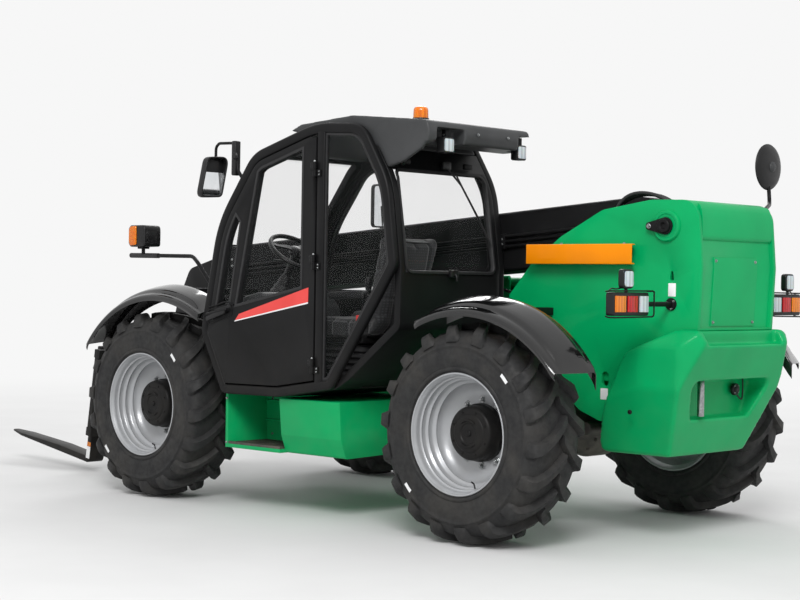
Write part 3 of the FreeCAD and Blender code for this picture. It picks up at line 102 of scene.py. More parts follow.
def on_boom(u, y, v):
    """A place along the boom: u from its pivot towards the forks, v above its middle line."""
    cos, sin = math.cos(BOOM_SLOPE), math.sin(BOOM_SLOPE)
    return spot(BOOM_PIVOT[0] + u * cos + v * sin, y, BOOM_PIVOT[1] - u * sin + v * cos)


def body_of_node(node):
    for body, members in frame["record"]["behaviour"]["bodies"].items():
        if node in members:
            return body
    raise ValueError(f"no body holds {node}")


def linear(code):
    """Linear colour with alpha 1 from an sRGB hex code."""
    parts = [int(code[i:i + 2], 16) / 255 for i in (1, 3, 5)]
    return (*[p / 12.92 if p <= 0.04045 else ((p + 0.055) / 1.055) ** 2.4 for p in parts], 1.0)


def look():
    return bpy.context.scene.telehandler_colours


def shaded(colour, factor):
    return tuple(part * factor for part in colour)


# Materials.

def add(tree, kind, values=None, links=None, **settings):
    """Adds a node with its settings, its inputs' values and the sockets linked to its inputs."""
    node = tree.nodes.new(kind)
    for key, value in settings.items():
        setattr(node, key, value)
    for key, value in (values or {}).items():
        node.inputs[key].default_value = value
    for key, socket in (links or {}).items():
        tree.links.new(socket, node.inputs[key])
    return node


def start_material(name, **values):
    """A material with one Principled shader, whose constant values sit on its own sockets."""
    made = bpy.data.materials.new(name)
    made.use_nodes = True
    tree = made.node_tree
    tree.nodes.clear()
    shader = add(tree, "ShaderNodeBsdfPrincipled",
                 {key.replace("_", " "): value for key, value in values.items()})
    add(tree, "ShaderNodeOutputMaterial", links={"Surface": shader.outputs["BSDF"]})
    return made, tree, shader


def per_mm(size):
    """Texture scale on coordinates in metres, for features of a size in millimetres."""
    return 1000.0 / size


def blotches(tree, places, size_mm, detail=3.0):
    return add(tree, "ShaderNodeTexNoise", {"Scale": per_mm(size_mm), "Detail": detail, "Roughness": 0.55},
               {"Vector": places.outputs["Object"]}).outputs["Fac"]


def spread(tree, factor, low, high, start=0.35, end=0.65):
    return add(tree, "ShaderNodeMapRange",
               {"From Min": start, "From Max": end, "To Min": low, "To Max": high},
               {"Value": factor}).outputs["Result"]


def blend(tree, factor, first, second):
    """Colour from first to second, each a hex code, a linear colour or a socket."""
    mix = add(tree, "ShaderNodeMix", {"Factor": 0.5}, {"Factor": factor}, data_type="RGBA")
    for socket, colour in ((mix.inputs[6], first), (mix.inputs[7], second)):
        if isinstance(colour, str):
            socket.default_value = linear(colour)
        elif isinstance(colour, bpy.types.NodeSocket):
            tree.links.new(colour, socket)
        else:
            socket.default_value = (*colour, 1.0)
    return mix.outputs[2]


def raised(tree, height, depth_mm, strength=1.0, under=None):
    links = {"Height": height}
    if under is not None:
        links["Normal"] = under
    return add(tree, "ShaderNodeBump", {"Strength": strength, "Distance": depth_mm / 1000},
               links).outputs["Normal"]


def road_dust(tree, places, amount):
    """How dusty a place is: most near the ground, in soft patches."""
    z = add(tree, "ShaderNodeSeparateXYZ", links={"Vector": places.outputs["Object"]}).outputs["Z"]
    low = add(tree, "ShaderNodeMapRange", {"From Min": 0.15, "From Max": 1.15, "To Min": amount, "To Max": 0.0},
              {"Value": z}).outputs["Result"]
    patches = spread(tree, blotches(tree, places, 90, 5.0), 0.25, 1.0)
    return add(tree, "ShaderNodeMath", links={0: low, 1: patches}, operation="MULTIPLY").outputs[0]


def coated(name, colour, shade, patch_mm, rough, grain_mm, grain_depth, dust=0.0, dust_colour="#8F8778", **values):
    """A coated or moulded surface: two close shades in patches, a fine grain and a little road dust."""
    made, tree, shader = start_material(name, **values)
    places = add(tree, "ShaderNodeTexCoord")
    tone = blend(tree, spread(tree, blotches(tree, places, patch_mm), 0, 1), colour, shade)
    if dust:
        tone = blend(tree, road_dust(tree, places, dust), tone, dust_colour)
    tree.links.new(tone, shader.inputs["Base Color"])
    roughness = spread(tree, blotches(tree, places, patch_mm * 0.6), rough[0], rough[1])
    tree.links.new(roughness, shader.inputs["Roughness"])
    normal = raised(tree, blotches(tree, places, grain_mm, 2.0), grain_depth)
    tree.links.new(normal, shader.inputs["Normal"])
    return made


def green_enamel():
    """Sprayed two-coat enamel on steel: even colour, clear gloss, orange peel about 3 mm apart."""
    green = look().body_green
    return coated("green_enamel", green, shaded(green, 0.88), 420, (0.34, 0.42), 3.2, 0.05, 0.06,
                  Coat_Weight=0.10, Coat_Roughness=0.10, Specular_IOR_Level=0.22, IOR=1.35)


def green_casting():
    """The same enamel over cast iron: the skin of the sand mould shows as soft waves 9 mm apart."""
    green = look().body_green
    return coated("green_enamel_on_iron", green, shaded(green, 0.88), 420, (0.36, 0.46), 9.0, 0.16, 0.06,
                  Coat_Weight=0.10, Coat_Roughness=0.14, Specular_IOR_Level=0.22, IOR=1.35)


def black_enamel():
    """Satin powder coat on steel: near black, fine texture about 1.5 mm drawn as 2.5 mm."""
    return coated("black_satin_powder_coat", "#111112", "#161617", 300, (0.38, 0.48), 2.5, 0.05, 0.05,
                  Specular_IOR_Level=0.26, IOR=1.35)


def black_iron():
    """Painted cast iron of the axles: rough sand-cast skin, dusty low down."""
    return coated("painted_cast_iron", "#1A1A1B", "#262524", 120, (0.5, 0.66), 4.0, 0.35, 0.45, IOR=1.5)


def silver_enamel():
    """Silver-white wheel enamel, slightly metallic, with the dust of a yard."""
    silver = look().wheel_silver
    return coated("silver_wheel_enamel", silver, shaded(silver, 0.92), 160, (0.30, 0.40), 3.0, 0.05, 0.12,
                  Metallic=0.25, Coat_Weight=0.4, Coat_Roughness=0.12, IOR=1.5)


def orange_enamel():
    """Gloss enamel on folded steel: the safety orange of the boom prop."""
    orange = look().prop_orange
    return coated("orange_enamel", orange, shaded(orange, 0.92), 300, (0.30, 0.38), 3.2, 0.04,
                  Coat_Weight=0.1, Coat_Roughness=0.10, Specular_IOR_Level=0.25, IOR=1.35)


def gloss_plastic():
    """Moulded gloss polypropylene of the fenders: mirror-like with long soft waves."""
    return coated("gloss_black_polypropylene", "#0A0A0B", "#0E0E0F", 300, (0.10, 0.18), 38.0, 0.25, 0.10,
                  Coat_Weight=0.35, Coat_Roughness=0.05, IOR=1.5)


def black_plastic():
    """Moulded ABS of lamp and mirror housings: near black with a 1.2 mm spark-eroded grain."""
    return coated("black_abs", "#101011", "#151516", 120, (0.36, 0.46), 1.6, 0.05,
                  Specular_IOR_Level=0.35, IOR=1.5)


def grey_plastic():
    """Moulded roof and dash in dark grey: leather-like grain 2.5 mm apart, matt."""
    made, tree, shader = start_material("grained_grey_abs", IOR=1.5, Specular_IOR_Level=0.25)
    places = add(tree, "ShaderNodeTexCoord")
    tone = blend(tree, spread(tree, blotches(tree, places, 260), 0, 1), "#38393A", "#404142")
    tree.links.new(tone, shader.inputs["Base Color"])
    cells = add(tree, "ShaderNodeTexVoronoi", {"Scale": per_mm(2.5)}, {"Vector": places.outputs["Object"]},
                feature="DISTANCE_TO_EDGE").outputs["Distance"]
    tree.links.new(spread(tree, cells, 0.52, 0.42, 0.0, 0.2), shader.inputs["Roughness"])
    tree.links.new(raised(tree, cells, 0.12), shader.inputs["Normal"])
    return made


def tyre_rubber():
    """Carbon-black rubber: matt charcoal, fine mould grain, brown dust in the low places."""
    made, tree, shader = start_material("tyre_rubber", IOR=1.52, Specular_IOR_Level=0.35)
    places = add(tree, "ShaderNodeTexCoord")
    tone = blend(tree, spread(tree, blotches(tree, places, 70, 6.0), 0, 1), "#1D1D1E", "#272727")
    dust = spread(tree, blotches(tree, places, 160, 8.0), 0.0, 0.12, 0.45, 0.75)
    tone = blend(tree, dust, tone, "#6E685E")
    tree.links.new(tone, shader.inputs["Base Color"])
    tree.links.new(spread(tree, blotches(tree, places, 30), 0.62, 0.82), shader.inputs["Roughness"])
    fine = raised(tree, blotches(tree, places, 2.2), 0.12)
    tree.links.new(raised(tree, blotches(tree, places, 22, 4.0), 0.5, 0.7, fine), shader.inputs["Normal"])
    return made


def soft_rubber():
    """Extruded EPDM seals, hoses and grips: deep black, matt, smooth."""
    return coated("epdm_rubber", "#121213", "#18181A", 60, (0.55, 0.68), 1.4, 0.06, IOR=1.52)


def bright_steel():
    """Zinc-plated steel of screws and pins: pale grey metal, slightly clouded."""
    made, tree, shader = start_material("zinc_plated_steel", Metallic=1.0)
    places = add(tree, "ShaderNodeTexCoord")
    tree.links.new(blend(tree, spread(tree, blotches(tree, places, 14), 0, 1), "#A9ABAB", "#8C8E8F"),
                   shader.inputs["Base Color"])
    tree.links.new(spread(tree, blotches(tree, places, 6), 0.26, 0.42), shader.inputs["Roughness"])
    tree.links.new(raised(tree, blotches(tree, places, 2.5), 0.03), shader.inputs["Normal"])
    return made


def hard_chrome():
    """Ground and chromed piston rod: mirror metal with grinding marks 1.5 mm apart round it."""
    made, tree, shader = start_material("hard_chromed_steel", Metallic=1.0)
    places = add(tree, "ShaderNodeTexCoord")
    marks = add(tree, "ShaderNodeTexNoise", {"Scale": per_mm(1.5), "Detail": 1.0},
                {"Vector": places.outputs["Object"]}).outputs["Fac"]
    tree.links.new(blend(tree, spread(tree, marks, 0, 1), "#D2D3D4", "#C6C8C9"), shader.inputs["Base Color"])
    tree.links.new(spread(tree, marks, 0.09, 0.16), shader.inputs["Roughness"])
    tree.links.new(raised(tree, marks, 0.01), shader.inputs["Normal"])
    return made


def mirror_silver():
    """Silvered mirror glass: a plain bright reflection, a little misty at its edge."""
    made, tree, shader = start_material("silvered_glass", Metallic=1.0)
    places = add(tree, "ShaderNodeTexCoord")
    haze = blotches(tree, places, 80)
    tree.links.new(blend(tree, spread(tree, haze, 0, 1), "#E6E8EA", "#DCDFE1"), shader.inputs["Base Color"])
    tree.links.new(spread(tree, haze, 0.03, 0.08), shader.inputs["Roughness"])
    return made


def clear_glass():
    """Float glass of the cab: nearly clear, grey-green, brighter where seen along its face."""
    made, tree, shader = start_material("float_glass", IOR=1.52, Coat_Weight=1.0, Coat_Roughness=0.02)
    places = add(tree, "ShaderNodeTexCoord")
    tree.links.new(blend(tree, spread(tree, blotches(tree, places, 500), 0, 1), "#1C2422", "#212A27"),
                   shader.inputs["Base Color"])
    tree.links.new(spread(tree, blotches(tree, places, 120, 5.0), 0.02, 0.07), shader.inputs["Roughness"])
    facing = add(tree, "ShaderNodeLayerWeight", {"Blend": 0.5}).outputs["Facing"]
    tree.links.new(spread(tree, facing, 0.04, 0.70, 0.50, 1.0), shader.inputs["Alpha"])
    return made


def lens(name, colour, deep, ribs_mm=6.0):
    """A ribbed acrylic lamp lens: clear colour, upright flutes, shiny face."""
    made, tree, shader = start_material(name, IOR=1.49, Coat_Weight=0.3, Coat_Roughness=0.03, Specular_IOR_Level=0.3,
                                        Subsurface_Weight=0.25)
    places = add(tree, "ShaderNodeTexCoord")
    flutes = add(tree, "ShaderNodeTexWave", {"Scale": per_mm(ribs_mm) / TAU / 2, "Distortion": 0.0},
                 {"Vector": places.outputs["Object"]}, wave_type="BANDS", bands_direction="Y",
                 wave_profile="SIN").outputs["Fac"]
    tree.links.new(blend(tree, flutes, deep, colour), shader.inputs["Base Color"])
    tree.links.new(spread(tree, flutes, 0.16, 0.24, 0, 1), shader.inputs["Roughness"])
    tree.links.new(raised(tree, flutes, 0.6), shader.inputs["Normal"])
    return made


def amber_lens():
    """Amber acrylic."""
    return lens("amber_acrylic", "#F58410", "#D86C04")


def red_lens():
    """Red acrylic."""
    return lens("red_acrylic", "#C80A14", "#A1050E")


def clear_lens():
    """Clear acrylic over a bright reflector, which reads as pale grey."""
    return lens("clear_acrylic", "#D5D7DA", "#B4B7BB", 8.0)


def seat_cloth():
    """Woven polyester seat cloth, dark grey: threads 2 mm apart drawn as 4 mm, with sheen."""
    made, tree, shader = start_material("woven_polyester", Sheen_Weight=0.35, Sheen_Roughness=0.5)
    places = add(tree, "ShaderNodeTexCoord")
    waves = [add(tree, "ShaderNodeTexWave", {"Scale": per_mm(4) / TAU / 2, "Distortion": 0.4},
                 {"Vector": places.outputs["Object"]}, wave_type="BANDS", bands_direction=way).outputs["Fac"]
             for way in ("Y", "Z")]
    weave = add(tree, "ShaderNodeMath", links={0: waves[0], 1: waves[1]}, operation="MULTIPLY").outputs[0]
    tree.links.new(blend(tree, weave, "#151618", "#2A2B2E"), shader.inputs["Base Color"])
    tree.links.new(spread(tree, weave, 0.9, 0.75, 0, 1), shader.inputs["Roughness"])
    tree.links.new(raised(tree, weave, 0.5), shader.inputs["Normal"])
    return made


def seat_vinyl():
    """Black vinyl of the seat's sides: soft grain 3 mm apart, a low sheen."""
    return coated("black_vinyl", "#171718", "#1D1D1F", 90, (0.42, 0.55), 3.0, 0.18, IOR=1.5)


def belt_webbing():
    """Woven belt webbing: ribs 2.5 mm apart across it."""
    made, tree, shader = start_material("woven_webbing", Sheen_Weight=0.2)
    places = add(tree, "ShaderNodeTexCoord")
    ribs = add(tree, "ShaderNodeTexWave", {"Scale": per_mm(2.5) / TAU / 2, "Distortion": 0.2},
               {"Vector": places.outputs["Object"]}, wave_type="BANDS", bands_direction="Z").outputs["Fac"]
    tree.links.new(blend(tree, ribs, "#1E1F21", "#34363A"), shader.inputs["Base Color"])
    tree.links.new(spread(tree, ribs, 0.85, 0.7, 0, 1), shader.inputs["Roughness"])
    tree.links.new(raised(tree, ribs, 0.4), shader.inputs["Normal"])
    return made


def red_film():
    """Cast vinyl film on the door: bright red, satin."""
    return coated("red_vinyl_film", "#E34844", "#DC403C", 200, (0.28, 0.34), 5.0, 0.02, IOR=1.46)


def white_film():
    """Cast vinyl film: white, satin."""
    return coated("white_vinyl_film", "#E9EAEA", "#E2E3E4", 200, (0.28, 0.34), 5.0, 0.02, IOR=1.46)


def tread_steel():
    """Zinc-flaked step tread, worn bright on its teeth."""
    return coated("worn_step_steel", "#2B2C2D", "#3C3D3F", 35, (0.42, 0.62), 4.0, 0.2, 0.5, Metallic=0.55)


FINISHES = {
    # name: maker, the record's slot
    "green": (green_enamel, "green_paint"),
    "green_iron": (green_casting, "green_paint"),
    "black": (black_enamel, "black_paint"),
    "iron": (black_iron, "cast_iron"),
    "silver": (silver_enamel, "silver_paint"),
    "orange": (orange_enamel, "orange_paint"),
    "gloss": (gloss_plastic, "black_plastic"),
    "plastic": (black_plastic, "black_plastic"),
    "grey": (grey_plastic, "grey_plastic"),
    "tyre": (tyre_rubber, "tyre"),
    "rubber": (soft_rubber, "black_plastic"),
    "steel": (bright_steel, "steel"),
    "chrome": (hard_chrome, "chrome_rod"),
    "mirror": (mirror_silver, "steel"),
    "glass": (clear_glass, "pane"),
    "amber": (amber_lens, "amber_lens"),
    "red": (red_lens, "amber_lens"),
    "clear": (clear_lens, "pane"),
    "cloth": (seat_cloth, "seat_fabric"),
    "vinyl": (seat_vinyl, "seat_fabric"),
    "webbing": (belt_webbing, "seat_fabric"),
    "red_film": (red_film, "amber_lens"),
    "white_film": (white_film, "silver_paint"),
    "tread": (tread_steel, "steel"),
}
made_finishes = {}


def finish(name):
    """The material of that name, made once."""
    if name not in made_finishes:
        made_finishes[name] = FINISHES[name][0]()
    return made_finishes[name]


# Shapes. Those drawn here are from the rear axle; Parts sets them in the row's frame.

SHIFT = Matrix.Translation((REAR_AXLE_X, 0, 0))
ACROSS = Matrix.Diagonal((1, -1, 1, 1))


class Parts:
    """One piece in the making: shapes of several finishes that end in one mesh."""

    def __init__(self):
        self.shape = bmesh.new()
        self.finishes = []

    def take(self, shape, name, place=None, soft=math.radians(38)):
        """Adds a bmesh or mesh with one finish; place moves it in the machine's own frame."""
        mesh = shape
        if isinstance(shape, bmesh.types.BMesh):
            mesh = bpy.data.meshes.new("part")
            shape.to_mesh(mesh)
            shape.free()
        if place is not None:
            mesh.transform(place)
            if place.determinant() < 0:
                mesh.flip_normals()
        if name not in self.finishes:
            self.finishes.append(name)
        number = self.finishes.index(name)
        mesh.polygons.foreach_set("material_index", [number] * len(mesh.polygons))
        mesh.shade_smooth()
        mesh.set_sharp_from_angle(angle=soft)
        self.shape.from_mesh(mesh)
        bpy.data.meshes.remove(mesh)
        return self

    def both_sides(self, shape, name, place=Matrix(), **options):
        """Adds a shape and its mirror image on the machine's other side."""
        mesh = shape
        if isinstance(shape, bmesh.types.BMesh):
            mesh = bpy.data.meshes.new("part")
            shape.to_mesh(mesh)
            shape.free()
        self.take(mesh.copy(), name, place, **options)
        return self.take(mesh, name, ACROSS @ place, **options)

    def settle(self, name, body, *stands_for, drawn_here=True):
        """Makes the piece, which rides on a body and may stand for CAD nodes."""
        mesh = bpy.data.meshes.new(name)
        self.shape.to_mesh(mesh)
        self.shape.free()
        if drawn_here:
            mesh.transform(SHIFT)
        return settled(name, mesh, body, self.finishes, stands_for)


def settled(name, mesh, body, finishes, stands_for=()):
    for each in finishes:
        mesh.materials.append(finish(each))
    piece = bpy.data.objects.new(name, mesh)
    bpy.context.scene.collection.objects.link(piece)
    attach(piece, body)
    if stands_for:
        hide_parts(*stands_for)
    return piece


def outline(corners, steps=5, closed=True):
    """Points through (a, b, radius) corners, each corner rounded in steps."""
    points = []
    count = len(corners)
    for i, (a, b, *radius) in enumerate(corners):
        here = Vector((a, b))
        radius = radius[0] if radius else 0
        if radius <= 0 or (not closed and i in (0, count - 1)):
            points.append(here)
            continue
        back = Vector(corners[i - 1][:2]) - here
        ahead = Vector(corners[(i + 1) % count][:2]) - here
        turn = math.pi - back.angle(ahead)
        reach = min(radius * math.tan(turn / 2), 0.49 * back.length, 0.49 * ahead.length)
        first, last = here + back.normalized() * reach, here + ahead.normalized() * reach
        for k in range(steps + 1):
            t = k / steps
            points.append(first.lerp(here, t).lerp(here.lerp(last, t), t))
    return points


PLANES = {
    "xz": lambda a, b, c: Vector((a, c, b)),
    "yz": lambda a, b, c: Vector((c, a, b)),
    "xy": lambda a, b, c: Vector((a, b, c)),
}


def slab(corners, plane, start, end, bevel=0.0, steps=5, rounds=2):
    """A plate with rounded corners between start and end, its rims bevelled."""
    shape = bmesh.new()
    place = PLANES[plane]
    points = outline(corners, steps)
    rings = [[shape.verts.new(place(p.x, p.y, c)) for p in points] for c in (start, end)]
    caps = [shape.faces.new(ring) for ring in rings]
    for i in range(len(points)):
        shape.faces.new((rings[0][i - 1], rings[0][i], rings[1][i], rings[1][i - 1]))
    shape.normal_update()
    bmesh.ops.recalc_face_normals(shape, faces=shape.faces)
    if bevel:
        rims = [edge for cap in caps for edge in cap.edges]
        bmesh.ops.bevel(shape, geom=rims, offset=bevel, segments=rounds, profile=0.5, affect="EDGES",
                        clamp_overlap=True)
    return shape


def box(low, high, bevel=0.004, rounds=2):
    """A box with every edge bevelled."""
    shape = bmesh.new()
    bmesh.ops.create_cube(shape, size=1)
    low, high = Vector(low), Vector(high)
    size = high - low
    bmesh.ops.scale(shape, vec=size, verts=shape.verts)
    bmesh.ops.translate(shape, vec=(low + high) / 2, verts=shape.verts)
    if bevel:
        bmesh.ops.bevel(shape, geom=shape.edges, offset=bevel, segments=rounds, profile=0.5,
                        affect="EDGES", clamp_overlap=True)
    return shape


def lathe(profile, steps=48, ring=False):
    """A shape turned about the Y axis from (radius, along) points; ring closes the profile."""
    shape = bmesh.new()
    rows = []
    for radius, along in profile:
        if radius < 1e-6:
            rows.append([shape.verts.new((0, along, 0))])
            continue
        rows.append([shape.verts.new((radius * math.sin(TAU * k / steps), along, radius * math.cos(TAU * k / steps)))
                     for k in range(steps)])
    pairs = list(zip(rows, rows[1:])) + ([(rows[-1], rows[0])] if ring else [])
    for first, second in pairs:
        for k in range(steps):
            j = (k + 1) % steps
            if len(first) == 1:
                shape.faces.new((first[0], second[j], second[k]))
            elif len(second) == 1:
                shape.faces.new((first[k], first[j], second[0]))
            else:
                shape.faces.new((first[k], first[j], second[j], second[k]))
    bmesh.ops.recalc_face_normals(shape, faces=shape.faces)
    return shape


def skin(rings, closed_ends=True, loop=False):
    """A skin over rings of as many points each."""
    shape = bmesh.new()
    rows = [[shape.verts.new(point) for point in ring] for ring in rings]
    pairs = list(zip(rows, rows[1:])) + ([(rows[-1], rows[0])] if loop else [])
    for first, second in pairs:
        for k in range(len(first)):
            shape.faces.new((first[k - 1], first[k], second[k], second[k - 1]))
    if closed_ends and not loop:
        shape.faces.new(rows[0])
        shape.faces.new(rows[-1])
    bmesh.ops.recalc_face_normals(shape, faces=shape.faces)
    return shape


def round_section(a0, a1, b0, b1, radius, steps=3):
    """A rectangle with rounded corners, for swept."""
    return outline([(a0, b0, radius), (a1, b0, radius), (a1, b1, radius), (a0, b1, radius)], steps)


def swept(points, section, plane="xz", closed=True):
    """A section of (inward, across) points carried along a flat outline."""
    path = [p for i, p in enumerate(points) if (p - points[i - 1]).length > 1e-5 or (i == 0 and not closed)]
    count = len(path)
    area = sum(path[i - 1].x * path[i].y - path[i].x * path[i - 1].y for i in range(count))
    side = 1 if area > 0 else -1
    rings = []
    for i, here in enumerate(path):
        before = here - path[i - 1] if closed or i else path[1] - here
        after = path[(i + 1) % count] - here if closed or i < count - 1 else before
        n1, n2 = (Vector((-d.y, d.x)).normalized() for d in (before, after))
        inward = (n1 + n2) * side / (1 + n1.dot(n2))
        rings.append([PLANES[plane](here.x + inward.x * a, here.y + inward.y * a, b) for a, b in section])
    return skin(rings, closed_ends=not closed, loop=closed)


def pane_edges(node, level):
    """Outlines in x and z of a node's upright faces that stand at y = level."""
    shape = cad_copy(node)
    shape.normal_update()
    chosen = {f for f in shape.faces if abs(f.normal.y) > 0.99 and abs(f.calc_center_median().y - level) < 1e-4}
    ahead = {}
    for face in chosen:
        for loop in face.loops:
            if not any(other in chosen and other is not face for other in loop.edge.link_faces):
                ahead[loop.vert] = loop.link_loop_next.vert
    loops = []
    while ahead:
        start, here = ahead.popitem()
        points = [start]
        while here in ahead:
            points.append(here)
            here = ahead.pop(here)
        loops.append([Vector((v.co.x, v.co.z)) for v in points])
    shape.free()
    return loops


def arc_through(first, middle, last, steps):
    """Points along the circle's arc through three flat points."""
    (ax, ay), (bx, by), (cx, cy) = first, middle, last
    d = 2 * (ax * (by - cy) + bx * (cy - ay) + cx * (ay - by))
    ux = ((ax * ax + ay * ay) * (by - cy) + (bx * bx + by * by) * (cy - ay) + (cx * cx + cy * cy) * (ay - by)) / d
    uy = ((ax * ax + ay * ay) * (cx - bx) + (bx * bx + by * by) * (ax - cx) + (cx * cx + cy * cy) * (bx - ax)) / d
    start = math.atan2(ay - uy, ax - ux)
    sweep = (math.atan2(cy - uy, cx - ux) - start + math.pi) % TAU - math.pi
    radius = math.hypot(ax - ux, ay - uy)
    return [Vector((ux + radius * math.cos(start + sweep * k / steps), uy + radius * math.sin(start + sweep * k / steps)))
            for k in range(steps + 1)]


def sheet_patch(grid, thick):
    """A thin panel of even thickness from rows of points, which are its upper side."""
    rows, columns = len(grid), len(grid[0])

    def square(i, j):
        along = grid[min(i + 1, rows - 1)][j] - grid[max(i - 1, 0)][j]
        across = grid[i][min(j + 1, columns - 1)] - grid[i][max(j - 1, 0)]
        return along.cross(across).normalized()

    inward = thick if square(rows // 2, columns // 2).z < 0 else -thick
    shape = bmesh.new()
    top = [[shape.verts.new(p) for p in row] for row in grid]
    low = [[shape.verts.new(grid[i][j] + square(i, j) * inward) for j in range(columns)] for i in range(rows)]
    for layer in (top, low):
        for i in range(rows - 1):
            for j in range(columns - 1):
                shape.faces.new((layer[i][j], layer[i][j + 1], layer[i + 1][j + 1], layer[i + 1][j]))
    rim = [(i, 0) for i in range(rows)] + [(rows - 1, j) for j in range(1, columns)]
    rim += [(i, columns - 1) for i in range(rows - 2, -1, -1)] + [(0, j) for j in range(columns - 2, 0, -1)]
    for (i, j), (m, n) in zip(rim, rim[1:] + rim[:1]):
        shape.faces.new((top[i][j], top[m][n], low[m][n], low[i][j]))
    bmesh.ops.recalc_face_normals(shape, faces=shape.faces)
    return shape


def evaluated(item):
    """The object's mesh with its modifiers applied; the object itself goes."""
    bpy.context.view_layer.update()
    mesh = bpy.data.meshes.new_from_object(item.evaluated_get(bpy.context.evaluated_depsgraph_get()))
    bpy.data.objects.remove(item)
    return mesh


def tube(points, radius, bend=0.05, sides=4, curved=False):
    """A pipe through points whose corners bend at a radius, or a hose along one smooth curve."""
    curve = bpy.data.curves.new("pipe", "CURVE")
    curve.dimensions = "3D"
    path = [Vector(p) for p in points]
    if not curved:
        path = bent(path, bend)
    spline = curve.splines.new("NURBS" if curved else "POLY")
    spline.points.add(len(path) - 1)
    for target, point in zip(spline.points, path):
        target.co = (*point, 1)
    if curved:
        spline.order_u = 3
        spline.use_endpoint_u = True
        spline.resolution_u = 6
    curve.bevel_depth = radius
    curve.bevel_resolution = sides
    curve.use_fill_caps = True
    item = bpy.data.objects.new("pipe", curve)
    bpy.context.scene.collection.objects.link(item)
    mesh = evaluated(item)
    bpy.data.curves.remove(curve)
    return mesh


def bent(path, radius, steps=6):
    """The path with each corner turned into an arc."""
    points = [path[0]]
    for before, here, after in zip(path, path[1:], path[2:]):
        back, ahead = before - here, after - here
        turn = math.pi - back.angle(ahead)
        if turn < 0.02:
            points.append(here)
            continue
        reach = min(radius * math.tan(turn / 2), 0.45 * back.length, 0.45 * ahead.length)
        first, last = here + back.normalized() * reach, here + ahead.normalized() * reach
        points += [first.lerp(here, k / steps).lerp(here.lerp(last, k / steps), k / steps)
                   for k in range(steps + 1)]
    return points + [path[-1]]


def cad_copy(*nodes):
    """The merged mesh of CAD nodes, set back to the machine's own frame."""
    shape = bmesh.new()
    for node in nodes:
        shape.from_mesh(frame["nodes"][node].data)
    bmesh.ops.remove_doubles(shape, verts=shape.verts, dist=2e-5)
    bmesh.ops.transform(shape, matrix=SHIFT.inverted(), verts=shape.verts)
    return shape


def as_object(shape):
    mesh = bpy.data.meshes.new("shape")
    shape.to_mesh(mesh)
    shape.free()
    item = bpy.data.objects.new("shape", mesh)
    bpy.context.scene.collection.objects.link(item)
    return item


def softened(shape, width=0.004, angle=32):
    """A sheet-metal shape with its sharp edges rounded by a small bevel."""
    bmesh.ops.dissolve_limit(shape, angle_limit=math.radians(0.6), verts=shape.verts, edges=shape.edges)
    item = as_object(shape)
    rounding = item.modifiers.new("bevel", "BEVEL")
    rounding.width = width
    rounding.segments = 2
    rounding.limit_method = "ANGLE"
    rounding.angle_limit = math.radians(angle)
    rounding.use_clamp_overlap = True
    rounding.harden_normals = False
    item.modifiers.new("triangles", "TRIANGULATE").min_vertices = 5
    return evaluated(item)


def moulded(shape, voxel=0.009, passes=6, keep=0.5):
    """A cast or moulded shape, rounded all over as one skin."""
    item = as_object(shape)
    remesh = item.modifiers.new("skin", "REMESH")
    remesh.mode = "VOXEL"
    remesh.voxel_size = voxel
    smooth = item.modifiers.new("smooth", "SMOOTH")
    smooth.factor = 0.5
    smooth.iterations = passes
    if keep < 1:
        fewer = item.modifiers.new("fewer", "DECIMATE")
        fewer.ratio = keep
    return evaluated(item)


# Repeats, as Geometry Nodes trees with named inputs.

def new_tree(name, inputs):
    tree = bpy.data.node_groups.new(name, "GeometryNodeTree")
    for title, kind, default in inputs:
        socket = tree.interface.new_socket(title, in_out="INPUT", socket_type=kind)
        if default is not None:
            socket.default_value = default
    tree.interface.new_socket("Geometry", in_out="OUTPUT", socket_type="NodeSocketGeometry")
    return tree, add(tree, "NodeGroupInput")


def close_tree(tree, start, instances):
    real = add(tree, "GeometryNodeRealizeInstances", links={"Geometry": instances})
    dressed = add(tree, "GeometryNodeSetMaterial",
                  links={"Geometry": real.outputs["Geometry"], "Material": start.outputs["Material"]})
    add(tree, "NodeGroupOutput", links={"Geometry": dressed.outputs["Geometry"]})
    return tree


def ring_tree():
    """Copies of an item turned about the Y axis, evenly spaced round a wheel."""
    tree, start = new_tree("ring_of_items", (
        ("Geometry", "NodeSocketGeometry", None), ("Item", "NodeSocketObject", None),
        ("Count", "NodeSocketInt", 20), ("Phase", "NodeSocketFloat", 0.0),
        ("Material", "NodeSocketMaterial", None)))
    line = add(tree, "GeometryNodeMeshLine", {"Offset": (0, 0, 0)}, {"Count": start.outputs["Count"]})
    index = add(tree, "GeometryNodeInputIndex").outputs["Index"]
    pitch = add(tree, "ShaderNodeMath", {0: TAU}, {1: start.outputs["Count"]}, operation="DIVIDE")
    turn = add(tree, "ShaderNodeMath", links={0: index, 1: pitch.outputs[0], 2: start.outputs["Phase"]},
               operation="MULTIPLY_ADD")
    angles = add(tree, "ShaderNodeCombineXYZ", links={"Y": turn.outputs[0]})
    item = add(tree, "GeometryNodeObjectInfo", links={"Object": start.outputs["Item"]})
    spread_out = add(tree, "GeometryNodeInstanceOnPoints",
                     links={"Points": line.outputs["Mesh"], "Instance": item.outputs["Geometry"],
                            "Rotation": angles.outputs["Vector"]})
    return close_tree(tree, start, spread_out.outputs["Instances"])


